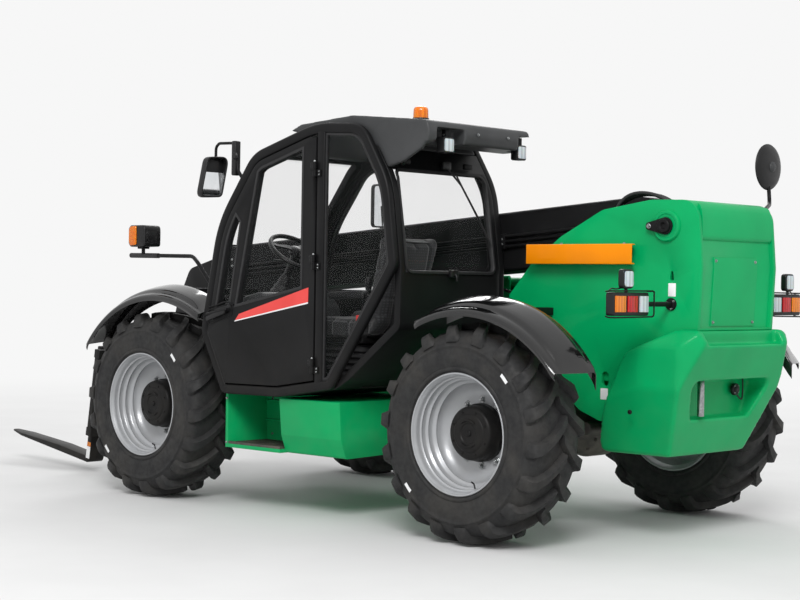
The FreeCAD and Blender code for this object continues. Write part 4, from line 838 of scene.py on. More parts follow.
def row_tree():
    """Copies of an item along a straight line."""
    tree, start = new_tree("row_of_items", (
        ("Geometry", "NodeSocketGeometry", None), ("Item", "NodeSocketObject", None),
        ("Count", "NodeSocketInt", 10), ("Start", "NodeSocketVector", (0, 0, 0)),
        ("Step", "NodeSocketVector", (0.1, 0, 0)), ("Material", "NodeSocketMaterial", None)))
    line = add(tree, "GeometryNodeMeshLine", links={"Count": start.outputs["Count"],
                                                   "Start Location": start.outputs["Start"],
                                                   "Offset": start.outputs["Step"]})
    item = add(tree, "GeometryNodeObjectInfo", links={"Object": start.outputs["Item"]})
    spread_out = add(tree, "GeometryNodeInstanceOnPoints",
                     links={"Points": line.outputs["Mesh"], "Instance": item.outputs["Geometry"]})
    return close_tree(tree, start, spread_out.outputs["Instances"])


def places_tree():
    """Copies of an item on given points, each facing the way of its point and as large as it says."""
    tree, start = new_tree("items_on_places", (
        ("Geometry", "NodeSocketGeometry", None), ("Item", "NodeSocketObject", None),
        ("Material", "NodeSocketMaterial", None)))
    way = add(tree, "GeometryNodeInputNamedAttribute", {"Name": "way"}, data_type="FLOAT_VECTOR")
    grow = add(tree, "GeometryNodeInputNamedAttribute", {"Name": "grow"}, data_type="FLOAT")
    facing = add(tree, "FunctionNodeAlignRotationToVector", links={"Vector": way.outputs["Attribute"]}, axis="Z")
    item = add(tree, "GeometryNodeObjectInfo", links={"Object": start.outputs["Item"]})
    spread_out = add(tree, "GeometryNodeInstanceOnPoints",
                     links={"Points": start.outputs["Geometry"], "Instance": item.outputs["Geometry"],
                            "Rotation": facing.outputs["Rotation"], "Scale": grow.outputs["Attribute"]})
    return close_tree(tree, start, spread_out.outputs["Instances"])


TREES = {"ring": ring_tree, "row": row_tree, "places": places_tree}
made_trees = {}


def repeated(kind, item, name, base=None, **inputs):
    """A plain mesh of an item's copies, laid out by one of the trees."""
    if kind not in made_trees:
        made_trees[kind] = TREES[kind]()
    tree = made_trees[kind]
    source = as_object(item)
    target = bpy.data.objects.new("repeats", base or bpy.data.meshes.new("repeats"))
    bpy.context.scene.collection.objects.link(target)
    modifier = target.modifiers.new("repeats", "NODES")
    modifier.node_group = tree
    values = dict(inputs, Item=source, Material=finish(name))
    for socket in tree.interface.items_tree:
        if socket.in_out == "INPUT" and socket.name in values:
            modifier[socket.identifier] = values[socket.name]
    mesh = evaluated(target)
    mesh.materials.clear()
    bpy.data.objects.remove(source)
    return mesh


def fixings(places, item=None, name="steel"):
    """Screws or the like at (point, direction, size) places, as one mesh."""
    base = bpy.data.meshes.new("places")
    base.from_pydata([point for point, way, size in places], [], [])
    for key, kind, values in (("way", "FLOAT_VECTOR", [part for point, way, size in places for part in way]),
                              ("grow", "FLOAT", [size for point, way, size in places])):
        base.attributes.new(key, kind, "POINT").data.foreach_set("value" if kind == "FLOAT" else "vector", values)
    return repeated("places", item or hex_head(), name, base)


def hex_head():
    """A flanged hexagon head, 1 across its flats, standing on its seat and facing +Z."""
    shape = bmesh.new()
    rows = []
    for radius, height, sides in ((0.80, -0.10, 24), (0.80, 0.06, 24), (0.72, 0.14, 24)):
        rows.append([shape.verts.new((radius * math.cos(TAU * k / sides), radius * math.sin(TAU * k / sides), height))
                     for k in range(sides)])
    for radius, height in ((0.577, 0.14), (0.577, 0.55), (0.52, 0.64)):
        rows.append([])
        for k in range(24):
            angle = TAU * k / 24
            flat = math.cos(TAU / 12) / math.cos((angle % (TAU / 6)) - TAU / 12)
            rows[-1].append(shape.verts.new((radius * flat * math.cos(angle), radius * flat * math.sin(angle), height)))
    for first, second in zip(rows, rows[1:]):
        for k in range(24):
            shape.faces.new((first[k - 1], first[k], second[k], second[k - 1]))
    shape.faces.new(rows[-1])
    bmesh.ops.recalc_face_normals(shape, faces=shape.faces)
    return shape


def turned(angle, axis):
    return Matrix.Rotation(angle, 4, axis)


def at(x, y, z):
    return Matrix.Translation((x, y, z))


# Wheels, drawn round their own hub with +Y outwards.

def lug():
    """One bar of the tread's left half: its nose leads at the middle, its end folds down the shoulder."""
    stations = (
        # along the axle, radius of the top, lag round the tyre, half width, depth, tilt of the top
        (-0.016, 0.5915, -0.010, 0.017, 0.046, 0.00),
        (0.020, 0.5920, 0.055, 0.0195, 0.046, 0.02),
        (0.060, 0.5905, 0.120, 0.0215, 0.046, 0.05),
        (0.100, 0.5880, 0.175, 0.024, 0.046, 0.10),
        (0.137, 0.5835, 0.214, 0.0275, 0.047, 0.16),
        (0.168, 0.5760, 0.242, 0.031, 0.050, 0.36),
        (0.190, 0.5600, 0.258, 0.033, 0.046, 0.85),
        (0.2015, 0.5360, 0.266, 0.034, 0.034, 1.30),
        (0.2070, 0.5120, 0.270, 0.033, 0.018, 1.45),
        (0.2060, 0.4930, 0.272, 0.028, 0.008, 1.50),
    )
    rings = []
    for along, radius, lag, half, depth, tilt in stations:
        ring = []
        for side, down in ((-1.45, 1.0), (-1.06, 0.16), (-0.90, 0.0), (0.90, 0.0), (1.06, 0.16), (1.45, 1.0)):
            r = radius - down * depth * math.cos(tilt)
            y = along - down * depth * math.sin(tilt)
            turn = -lag + side * half * (1.25 - 0.25 * min(along / 0.15, 1)) / radius
            ring.append((r * math.sin(turn), y, r * math.cos(turn)))
        rings.append(ring)
    return skin(rings)


def tyre_shape():
    half = ((0.554, 0.0), (0.552, 0.06), (0.549, 0.11), (0.543, 0.145), (0.532, 0.168), (0.516, 0.184),
            (0.500, 0.192), (0.486, 0.1975), (0.4785, 0.2005), (0.476, 0.2040), (0.466, 0.2045), (0.463, 0.2015),
            (0.445, 0.2045), (0.425, 0.2055), (0.400, 0.2045), (0.375, 0.2010), (0.3585, 0.1965), (0.356, 0.2000),
            (0.350, 0.2030), (0.343, 0.2025), (0.338, 0.1985), (0.3365, 0.193), (0.3315, 0.1945), (0.330, 0.188),
            (0.3255, 0.184), (0.3225, 0.178))
    profile = [(r, -y) for r, y in half[:0:-1]] + list(half)
    return lathe(profile, 120, ring=True)


def rim_shape():
    profile = ((0.3285, 0.1915), (0.3255, 0.1935), (0.3205, 0.1925), (0.3175, 0.1865), (0.3150, 0.1800),
               (0.3105, 0.1740), (0.3080, 0.1620), (0.3075, 0.1510), (0.3050, 0.1455), (0.3005, 0.1435),
               (0.2980, 0.1400), (0.2990, 0.1355), (0.3025, 0.1320), (0.3030, 0.1260), (0.3000, 0.1120),
               (0.2960, 0.1050), (0.2905, 0.1020), (0.2870, 0.0980), (0.2875, 0.0930), (0.2910, 0.0890),
               (0.2910, 0.0820), (0.2860, 0.0690), (0.2800, 0.0610), (0.2730, 0.0575), (0.2690, 0.0530),
               (0.2690, 0.0480), (0.2720, 0.0430), (0.2700, 0.0350), (0.2590, 0.0170), (0.2440, 0.0020),
               (0.2300, -0.0080), (0.2130, -0.0145), (0.205, -0.015), (0.198, -0.019), (0.120, -0.020),
               (0.120, -0.038), (0.230, -0.036), (0.276, -0.022), (0.289, -0.040), (0.293, -0.100), (0.296, -0.160),
               (0.314, -0.176), (0.3185, -0.1865), (0.3205, -0.1925), (0.3255, -0.1935), (0.3285, -0.1915),
               (0.3285, -0.180), (0.316, -0.1725), (0.310, -0.160), (0.310, 0.160), (0.316, 0.1725), (0.3285, 0.181))
    return lathe(profile, 96, ring=True)


def hub_shape():
    """Planetary hub: a plain drum with a raised ring on its cover."""
    profile = ((0.000, 0.092), (0.052, 0.092), (0.058, 0.097), (0.094, 0.098), (0.101, 0.095), (0.106, 0.091),
               (0.130, 0.089), (0.139, 0.084), (0.145, 0.075), (0.147, 0.064), (0.1475, 0.030), (0.151, 0.022),
               (0.157, 0.012), (0.158, -0.045), (0.0, -0.045))
    return lathe(profile, 96)


def nut():
    """A wheel stud's flanged nut with the stud's end, facing +Z."""
    shape = hex_head()
    end = lathe(((0.0, 0.92), (0.26, 0.92), (0.32, 0.86), (0.32, 0.5)), 12)
    bmesh.ops.rotate(end, matrix=Matrix.Rotation(math.radians(90), 3, "X"), verts=end.verts)
    mesh = bpy.data.meshes.new("stud")
    end.to_mesh(mesh)
    end.free()
    shape.from_mesh(mesh)
    bpy.data.meshes.remove(mesh)
    return shape


def round_rib(inner, outer, start, end, height, low, steps=14):
    """A raised arc on a wheel's face: radii, angles, the height of its top and its foot."""
    rings = []
    for k in range(steps + 1):
        turn = start + (end - start) * k / steps
        sin, cos = math.sin(turn), math.cos(turn)
        edge = 0.35 if k in (0, steps) else 1.0
        middle = (inner + outer) / 2
        reach = (outer - inner) / 2 * (0.6 if k in (0, steps) else 1.0)
        top = low + (height - low) * edge
        rings.append([((middle + s * reach) * sin, y, (middle + s * reach) * cos)
                      for s, y in ((-1, low), (-0.75, top), (0.75, top), (1, low))])
    return skin(rings)


def wheel(name, distance, side):
    sizes = bpy.context.scene.telehandler_sizes
    hub = at(distance, side * HALF_TRACK, HUB_Z)
    place = hub if side > 0 else hub @ ACROSS
    lugs = sizes.tyre_lugs
    tyre = Parts()
    tyre.take(tyre_shape(), "tyre", place, soft=math.radians(60))
    tyre.take(repeated("ring", lug(), "tyre", Count=lugs), "tyre", place, soft=math.radians(50))
    tyre.take(repeated("ring", lug(), "tyre", Count=lugs, Phase=TAU / lugs / 2), "tyre", place @ ACROSS,
              soft=math.radians(50))
    for turn in (math.radians(133), math.radians(313)):
        dash = skin([[(r * math.sin(turn + t), y, r * math.cos(turn + t)) for r, y in
                      ((0.446, 0.2035), (0.447, 0.2056), (0.465, 0.2052), (0.466, 0.2035))]
                     for t in (-0.062, -0.030, 0.0, 0.030, 0.062)])
        tyre.take(dash, "white_film", place)
    tyre.settle(f"tyre_{name}_tread", f"wheel_{name}", f"tyre_{name}")
    rim = Parts()
    rim.take(rim_shape(), "silver", place)
    rim.take(hub_shape(), "black", place, soft=math.radians(28))
    studs = sizes.hub_bolts
    holes = [((0.180 * math.sin(TAU * k / studs), -0.020, 0.180 * math.cos(TAU * k / studs)), (0, 1, 0), 0.026)
             for k in range(studs)]
    rim.take(fixings(holes, nut()), "steel", place)
    cover = [((0.119 * math.sin(TAU * (k + 0.5) / 8), 0.0895, 0.119 * math.cos(TAU * (k + 0.5) / 8)), (0, 1, 0), 0.010)
             for k in range(8)]
    rim.take(fixings(cover), "black", place)
    for start in (math.radians(-42), math.radians(138)):
        rim.take(round_rib(0.066, 0.077, start, start + math.radians(84), 0.1045, 0.0965), "black", place)
    rim.take(lathe(((0.0, 0.099), (0.013, 0.099), (0.016, 0.096), (0.016, 0.088)), 20), "black", place)
    valve = tube([(0.0, 0.150, 0.300), (0.0, 0.150, 0.272), (0.0, 0.166, 0.262)], 0.0045, 0.01, 3)
    rim.take(valve, "rubber", place @ turned(math.radians(200), "Y"))
    rim.settle(f"rim_{name}_dressed", f"wheel_{name}", f"rim_{name}")


# Sheet metal and castings that keep their shape and get real edges.

SHEET_METAL = (
    # piece, nodes, finish, edge radius, body
    ("tower_plates", "tower", "green", 0.006),
    ("frame_rails", "main_frame", "green", 0.004),
    ("engine_bay_panels", "engine_bay", "green", 0.006),
    ("boom_outer_section", "boom_outer", "black", 0.007),
    ("boom_middle_section", "boom_middle", "black", 0.007),
    ("boom_inner_section", "boom_inner", "black", 0.007),
    ("fork_carriage", "carriage", "black", 0.004),
    ("boom_prop_channel", "boom_prop", "orange", 0.006),
    ("cab_tub", "cab_floor", "black", 0.004),
    ("cab_back", "cab_rear_wall", "black", 0.005),
    ("cab_front", "cab_front_wall", "black", 0.005),
    ("cab_boom_side", "cab_right_wall", "black", 0.005),
    ("cab_door_leaf", "cab_door", "black", 0.006),
    ("side_box_and_step", "side_boxes", "green", 0.006),
    ("fork_pair", "forks", "black", 0.006),
    ("axle_beam_front", "axle_front", "iron", 0.006),
    ("axle_beam_rear", "axle_rear", "iron", 0.006),
)
MOULDED = (
    # piece, node, finish, skin, smoothing passes, share of faces kept
    ("engine_cover", "engine_hood", "green", 0.012, 7, 0.35),
    ("roof_shell", "cab_roof", "grey", 0.010, 4, 0.5),
)
PLAIN = {
    "iron": ("knuckle_front_left", "knuckle_front_right", "knuckle_rear_left", "knuckle_rear_right", "engine"),
    "steel": ("hitch_pin", "carriage_pin"),
    "green_iron": ("counterweight",),
    "black": ("boom_pivot_pin", "seat_base", "cab_side_frame", "fenders", "lift_cylinder_barrel", "tilt_cylinder_barrel", "boom_pipes"),
    "chrome": ("lift_cylinder_rod", "tilt_cylinder_rod"),
    "glass": ("cab_glass", "door_glass"),
    "grey": ("console",),
    "vinyl": ("seat_cushions",),
    "plastic": ("rear_lamps", "roof_lamps", "front_lamps", "mirrors"),
    "amber": ("beacon",),
}


def dress(node, name):
    """Gives a CAD node its material."""
    item = frame["nodes"][node]
    item.data.materials.clear()
    item.data.materials.append(finish(name))
    for polygon in item.data.polygons:
        polygon.material_index = 0


def sheet_metal():
    for piece, node, name, edge in SHEET_METAL:
        parts = Parts()
        parts.take(softened(cad_copy(node), edge), name, soft=math.radians(50))
        parts.settle(piece, body_of_node(node), node)


def castings():
    for piece, node, name, voxel, passes, keep in MOULDED:
        parts = Parts()
        parts.take(moulded(cad_copy(node), voxel, passes, keep), name, soft=math.radians(60))
        parts.settle(piece, body_of_node(node), node)


# The cab's outside.

CAB_SIDE = (
    (1.955, 0.700, 0.06), (2.160, 1.075, 0.13), (2.015, 1.745, 0.7), (1.700, 2.157, 0.26), (1.150, 2.311, 0.7),
    (0.773, 2.287, 0.19), (0.565, 1.955, 0.5), (0.499, 1.485, 0.1), (1.000, 0.774, 0.05), (1.450, 0.706, 0.3),
)
CAB_LEFT = 1.150
PILLAR = (1.075, 1.135)
HINGE = (1.1385, 1.162)
HINGE_HEIGHTS = (0.860, 1.460, 1.997)


def side_frame():
    parts = Parts()
    frame_line = outline(CAB_SIDE, 10)
    parts.take(swept(frame_line, round_section(0.0, 0.060, 1.104, CAB_LEFT, 0.019, 4)), "black")
    parts.take(box((PILLAR[0], 1.104, 0.775), (PILLAR[1], CAB_LEFT - 0.001, 2.285), 0.010, 3), "black")
    for z in HINGE_HEIGHTS:
        barrel = lathe(((0.0, 0.0), (0.009, 0.0), (0.0115, 0.002), (0.0115, 0.0385), (0.009, 0.040), (0.0, 0.040)), 20)
        parts.take(barrel, "black", at(HINGE[0], HINGE[1], z) @ turned(math.pi / 2, "X"))
        parts.take(box((HINGE[0] - 0.044, 1.148, z), (HINGE[0], 1.158, z + 0.040), 0.003), "black")
        parts.take(fixings([((HINGE[0] - 0.032, 1.158, z + d), (0, 1, 0), 0.006) for d in (0.011, 0.029)]), "steel")
    parts.settle("cab_side_tubes", "chassis", "cab_side_frame")


def seals():
    """Rubber round every pane, and the thin lip round the door."""
    fixed, door = Parts(), Parts()
    lip = round_section(-0.006, 0.012, 1.127, 1.1525, 0.004, 2)
    for loop in pane_edges("cab_glass", 1.130):
        fixed.take(swept(loop, round_section(-0.006, 0.013, 1.120, 1.139, 0.004, 2)), "rubber")
    for loop in pane_edges("cab_glass", 0.235):
        fixed.take(swept(loop, round_section(-0.006, 0.014, 0.212, 0.240, 0.004, 2)), "rubber")
    for loop in pane_edges("door_glass", 1.130):
        door.take(swept(loop, lip), "rubber")
        door.take(swept(loop, round_section(-0.004, 0.010, 1.100, 1.127, 0.004, 2)), "rubber")
    rear = ((0.306, 1.450, 0.05), (1.059, 1.450, 0.05), (1.059, 2.030, 0.05), (0.306, 2.030, 0.05))
    fixed.take(on_cab_back(rear, 0.010, 0.014), "rubber")
    fixed.settle("cab_seals", "chassis")
    door.settle("door_seals", "door")


def cab_back_x(z):
    """How far forward the cab's rear face stands at a height."""
    low, high = Vector((0.499, 1.485)), Vector((0.565, 1.955))
    if z < low.y:
        return low.x
    if z < high.y:
        return low.x + (high.x - low.x) * (z - low.y) / (high.y - low.y)
    return high.x + (z - high.y) * 0.55


def on_cab_back(corners, stand, width):
    """A bead round an opening in the cab's sloping rear face."""
    rings = []
    points = outline(corners, 8)
    count = len(points)
    middle = sum(points, Vector((0, 0))) / count
    for i, p in enumerate(points):
        way = (points[(i + 1) % count] - points[i - 1]).normalized()
        inward = Vector((-way.y, way.x))
        if inward.dot(middle - p) < 0:
            inward = -inward
        ring = []
        for a, out in ((-0.006, 0.0), (-0.004, stand), (width * 0.6, stand), (width, 0.002), (width, -0.016)):
            q = p + inward * a
            ring.append((cab_back_x(q.y) - out, q.x, q.y))
        rings.append(ring)
    return skin(rings, loop=True)


def door_fittings():
    parts = Parts()
    film = CAB_LEFT + 0.0008
    for name, corners in (("red_film", ((1.833, 1.150), (1.796, 1.190), (1.189, 1.357), (1.1905, 1.272))),
                          ("white_film", ((1.840, 1.1425), (1.833, 1.150), (1.1905, 1.272), (1.191, 1.263)))):
        parts.take(slab([(x, z, 0.002) for x, z in corners], "xz", CAB_LEFT - 0.002, film, steps=2), name)
    dish = outline(((2.078, 1.118, 0.02), (2.092, 1.205, 0.03), (1.868, 1.252, 0.03), (1.858, 1.180, 0.02)), 6)
    parts.take(swept(dish, round_section(-0.004, 0.005, 1.146, 1.1535, 0.002, 2)), "black")
    parts.take(slab(((2.060, 1.137, 0.012), (2.066, 1.168, 0.012), (1.892, 1.222, 0.012), (1.886, 1.191, 0.012)),
                    "xz", 1.176, 1.190, 0.006, 4, 3), "plastic")
    for x, z in ((2.046, 1.162), (1.905, 1.200)):
        parts.take(box((x - 0.010, 1.146, z - 0.010), (x + 0.010, 1.182, z + 0.010), 0.004), "plastic")
    lock = lathe(((0.0, 0.036), (0.006, 0.036), (0.009, 0.033), (0.011, 0.026), (0.011, 0.0), (0.0, 0.0)), 20)
    parts.take(lock, "steel", at(2.046, 1.150, 1.158))
    for z in HINGE_HEIGHTS:
        barrel = lathe(((0.0, 0.0), (0.0112, 0.0), (0.0118, 0.002), (0.0118, 0.037), (0.009, 0.040), (0.0, 0.040)), 20)
        parts.take(barrel, "black", at(HINGE[0], HINGE[1], z + 0.045) @ turned(math.pi / 2, "X"))
        knob = lathe(((0.0, 0.0), (0.007, 0.0), (0.008, 0.004), (0.006, 0.009), (0.0, 0.010)), 16)
        parts.take(knob, "steel", at(HINGE[0], HINGE[1], z + 0.084) @ turned(math.pi / 2, "X"))
        parts.take(box((HINGE[0], 1.148, z + 0.046), (HINGE[0] + 0.044, 1.158, z + 0.084), 0.003), "black")
        parts.take(fixings([((HINGE[0] + 0.032, 1.158, z + d), (0, 1, 0), 0.006) for d in (0.056, 0.074)]), "steel")
    ledge = tube([(2.070, 1.152, 1.226), (1.99, 1.156, 1.240), (1.917, 1.156, 1.262), (1.846, 1.152, 1.244)],
                 0.0055, 0.05, 3)
    parts.take(ledge, "black")
    parts.settle("door_fittings", "door")


def roof_fittings():
    parts = Parts()
    bolts = [((0.296, y, 2.228), (-1, 0, 0), 0.011) for y in (0.44, 0.70)]
    parts.take(fixings(bolts), "steel")
    for y0, y1 in ((0.235, 0.319), (0.866, 0.956)):
        lamp = slab(((y0, 2.114, 0.014), (y1, 2.114, 0.014), (y1, 2.202, 0.014), (y0, 2.202, 0.014)), "yz",
                    0.327, 0.378, 0.005)
        parts.take(lamp, "plastic")
        parts.take(slab(((y0 + 0.008, 2.123, 0.012), (y1 - 0.008, 2.123, 0.012), (y1 - 0.008, 2.193, 0.012),
                         (y0 + 0.008, 2.193, 0.012)), "yz", 0.322, 0.329, 0.002), "clear")
        y = (y0 + y1) / 2
        parts.take(box((0.340, y - 0.015, 2.194), (0.370, y + 0.015, 2.244), 0.003), "black")
        parts.take(fixings([((0.355, y - 0.0155, 2.215), (0, -1, 0), 0.008),
                            ((0.355, y + 0.0155, 2.215), (0, 1, 0), 0.008)]), "steel")
    parts.settle("roof_work_lamps", "chassis", "roof_lamps")
    glow = Parts()
    dome = ((0.0, 0.096), (0.026, 0.0955), (0.036, 0.092), (0.042, 0.083), (0.0435, 0.070), (0.045, 0.026), (0.0, 0.024))
    glow.take(lathe(dome, 48), "amber", at(0.740, 0.700, 2.318) @ turned(math.pi / 2, "X"))
    base = ((0.0, 0.030), (0.047, 0.030), (0.048, 0.026), (0.048, 0.002), (0.046, 0.0), (0.0, 0.0))
    glow.take(lathe(base, 48), "plastic", at(0.740, 0.700, 2.318) @ turned(math.pi / 2, "X"))
    glow.settle("beacon_lamp", "chassis", "beacon")


# Lamps and mirrors.

def rear_lamp_sets():
    parts = Parts()
    body = slab(((0.610, 1.238, 0.016), (0.915, 1.238, 0.016), (0.915, 1.360, 0.016), (0.610, 1.360, 0.016)), "yz",
                -0.818, -0.765, 0.005)
    parts.both_sides(body, "plastic")
    for name, y0, y1 in (("clear", 0.618, 0.696), ("red", 0.711, 0.799), ("amber", 0.815, 0.906)):
        pane = slab(((y0, 1.257, 0.006), (y1, 1.257, 0.006), (y1, 1.341, 0.006), (y0, 1.341, 0.006)), "yz",
                    -0.823, -0.816, 0.0025)
        parts.both_sides(pane, name)
    guard = [(-0.800, 0.606, 1.366), (-0.832, 0.604, 1.366), (-0.832, 0.584, 1.366), (-0.832, 0.584, 1.234),
             (-0.832, 0.908, 1.230), (-0.790, 0.921, 1.230), (-0.770, 0.921, 1.236)]
    parts.both_sides(tube(guard, 0.0042, 0.02, 3), "black")
    guard = [(-0.832, 0.584, 1.360), (-0.832, 0.594, 1.368), (-0.832, 0.905, 1.366), (-0.790, 0.919, 1.366),
             (-0.770, 0.921, 1.362)]
    parts.both_sides(tube(guard, 0.0042, 0.02, 3), "black")
    work = slab(((0.747, 1.378, 0.022), (0.837, 1.378, 0.022), (0.837, 1.478, 0.022), (0.747, 1.478, 0.022)), "yz",
                -0.820, -0.782, 0.008, 5, 3)
    parts.both_sides(work, "plastic")
    pane = slab(((0.755, 1.388, 0.016), (0.829, 1.388, 0.016), (0.829, 1.468, 0.016), (0.755, 1.468, 0.016)), "yz",
                -0.8245, -0.818, 0.0025)
    parts.both_sides(pane, "clear")
    parts.both_sides(tube([(-0.802, 0.792, 1.352), (-0.802, 0.792, 1.386)], 0.009, 0.01, 4), "black")
    parts.both_sides(tube([(-0.793, 0.376, 1.299), (-0.793, 0.620, 1.299)], 0.0135, 0.01, 5), "black")
    lead = [(-0.785, 0.800, 1.384), (-0.772, 0.836, 1.372), (-0.768, 0.880, 1.384), (-0.770, 0.905, 1.352)]
    parts.both_sides(tube(lead, 0.0035, curved=True, sides=3), "rubber")
    mount = lathe(((0.0, 0.014), (0.019, 0.014), (0.022, 0.010), (0.0325, 0.009), (0.034, 0.007), (0.034, 0.0),
                   (0.0, 0.0)), 40)
    parts.both_sides(mount, "black", place=at(-0.793, 0.370, 1.299))
    bolts = [((-0.793 + 0.0245 * math.cos(a), 0.379, 1.299 + 0.0245 * math.sin(a)), (0, 1, 0), 0.008)
             for a in (0.35, 2.45, 4.55)]
    parts.both_sides(fixings(bolts), "steel")
    parts.settle("rear_lamp_clusters", "chassis", "rear_lamps")


def front_lamp():
    parts = Parts()
    pipe = [(2.070, 1.130, 1.350), (2.215, 1.130, 1.500), (2.290, 1.110, 1.540), (2.760, 1.090, 1.545)]
    parts.take(tube(pipe, 0.0125, 0.12, 5), "black")
    parts.take(tube([(2.650, 1.094, 1.5435), (2.950, 1.083, 1.5465)], 0.0165, 0.05, 5), "rubber")
    parts.take(tube([(2.815, 1.090, 1.545), (2.815, 1.090, 1.612)], 0.012, 0.05, 4), "black")
    parts.take(box((2.785, 1.062, 1.588), (2.845, 1.116, 1.606), 0.004), "black")
    shell = slab(((2.730, 1.603, 0.02), (2.880, 1.600, 0.02), (2.899, 1.622, 0.02), (2.899, 1.720, 0.02),
                  (2.880, 1.740, 0.02), (2.730, 1.740, 0.03)), "xz", 1.014, 1.150, 0.010, 5, 3)
    parts.take(shell, "plastic")
    pane = slab(((1.022, 1.611, 0.012), (1.142, 1.611, 0.012), (1.142, 1.731, 0.012), (1.022, 1.731, 0.012)), "yz",
                2.8945, 2.9, 0.002)
    parts.take(pane, "clear")
    flasher = slab(((2.812, 1.612, 0.012), (2.872, 1.609, 0.012), (2.886, 1.640, 0.014), (2.884, 1.712, 0.014),
                    (2.868, 1.733, 0.012), (2.812, 1.735, 0.012)), "xz", 1.140, 1.158, 0.005, 5, 3)
    parts.take(flasher, "amber")
    for y in (1.030, 1.130):
        parts.take(box((2.724, y - 0.008, 1.640), (2.736, y + 0.008, 1.704), 0.003), "plastic")
    parts.settle("front_lamp_and_pipe", "chassis", "front_lamps")


def mirror_head(parts, corners, rear, front, lean):
    """A mirror's hollow housing whose glass leans back from flush at its foot."""
    edge = outline(corners, 6)
    parts.take(swept(edge, round_section(0.0, 0.012, rear, front - 0.004, 0.005, 3), "yz"), "plastic")
    parts.take(slab(corners, "yz", front - 0.010, front, 0.007, 6, 3), "plastic")
    middle = sum(edge, Vector((0, 0))) / len(edge)
    low = min(p.y for p in edge)
    inner = [middle + (p - middle) * 0.93 for p in edge]
    face = bmesh.new()
    face.faces.new([face.verts.new((rear + 0.004 + (p.y - low) * math.tan(lean), p.x, p.y)) for p in inner])
    for each in face.faces:
        each.normal_update()
        if each.normal.x > 0:
            each.normal_flip()
    parts.take(face, "mirror")


def mirrors():
    parts = Parts()
    left = ((1.052, 1.906, 0.040), (1.230, 1.896, 0.040), (1.174, 2.150, 0.050), (0.998, 2.162, 0.050))
    mirror_head(parts, left, 2.080, 2.125, math.radians(11))
    arm = [(1.790, 1.126, 1.990), (1.862, 1.118, 2.060), (1.885, 1.118, 2.170), (1.885, 1.118, 2.225)]
    parts.take(tube(arm, 0.011, 0.05, 4), "black")
    parts.take(box((1.866, 1.092, 2.030), (1.902, 1.140, 2.240), 0.008, 3), "plastic")
    parts.take(tube([(1.885, 1.118, 2.228), (2.060, 1.100, 2.235), (2.106, 1.088, 2.215), (2.106, 1.088, 2.150)],
                    0.009, 0.05, 4), "black")
    parts.take(lathe(((0.0, 0.010), (0.018, 0.008), (0.024, 0.0), (0.018, -0.008), (0.0, -0.010)), 24), "plastic",
               at(1.866, 1.142, 2.150))
    right = [(-0.800, -0.370, 1.760), (-0.800, -0.430, 1.760), (-0.740, -0.640, 1.850), (-0.500, -1.080, 1.900),
             (-0.480, -1.080, 2.128)]
    parts.take(tube(right, 0.012, 0.08, 5), "black")
    bowl = lathe(((0.0, 0.018), (0.060, 0.016), (0.105, 0.008), (0.132, -0.004), (0.140, -0.014), (0.140, -0.018),
                  (0.134, -0.0185), (0.132, -0.016), (0.0, -0.016)), 56)
    parts.take(bowl, "plastic", at(-0.498, -1.080, 2.128) @ turned(math.pi / 2, "Z"))
    knob = lathe(((0.0, 0.030), (0.022, 0.029), (0.028, 0.024), (0.034, 0.014), (0.0, 0.010)), 32)
    parts.take(knob, "grey", at(-0.498, -1.080, 2.128) @ turned(math.pi / 2, "Z"))
    glass = lathe(((0.0, -0.0165), (0.060, -0.0172), (0.100, -0.0168), (0.1315, -0.0160)), 56)
    parts.take(glass, "mirror", at(-0.497, -1.080, 2.128) @ turned(math.pi / 2, "Z"))
    parts.take(tube([(2.760, -1.060, 1.362), (2.760, -1.060, 1.960)], 0.012, 0.05, 5), "black")
    mirror_head(parts, ((-1.160, 1.800, 0.035), (-0.960, 1.800, 0.035), (-0.960, 2.120, 0.045), (-1.160, 2.120, 0.045)),
                2.745, 2.777, math.radians(3))
    parts.settle("mirror_set", "chassis", "mirrors")


# Fenders.

def mudguard(outer, inner, steps=36):
    """One fender: a rolled lip, a flat band and a raised middle that fades at its ends."""
    far, near = (arc_through(*points, steps) for points in (outer, inner))
    grid = []
    for k, (p, q) in enumerate(zip(far, near)):
        t = k / steps
        across, up = q - p, Vector((0, 0, 1))
        ends = min(1.0, t / 0.10, (1 - t) / 0.10)
        rise = 0.5 - 0.5 * math.cos(math.pi * min(max((ends * 1.0), 0), 1))
        tuck = 0.010 * (1 - math.sqrt(max(0.0, 1 - (1 - min(1.0, min(t, 1 - t) / 0.045)) ** 2)))
        row = [Vector((p.x, 1.192 - tuck, p.y - 0.034)), Vector((p.x, 1.1985 - tuck, p.y - 0.020)),
               Vector((p.x, 1.1995 - tuck, p.y - 0.008)), Vector((p.x, 1.195 - tuck, p.y - 0.0005))]
        for s, lift in ((0.05, 0.0035), (0.14, 0.005), (0.18, 0.004), (0.205, 0.010), (0.235, 0.020), (0.28, 0.0245),
                        (0.40, 0.027), (0.55, 0.0275), (0.70, 0.0265), (0.82, 0.0235), (0.865, 0.018), (0.895, 0.008),
                        (0.93, 0.004), (0.98, 0.003), (1.0, 0.0)):
            place = p + across * s
            height = lift if s < 0.19 or s > 0.92 else 0.004 + (lift - 0.004) * rise
            y = 1.2 + (0.950 - 1.2) * s + (tuck if s > 0.97 else 0)
            row.append(Vector((place.x, y, place.y + height)))
        row += [Vector((q.x, 0.9455 + tuck, q.y - down)) for down in (0.008, 0.040, 0.085)]
        grid.append(row)
    return sheet_patch(grid, 0.004)


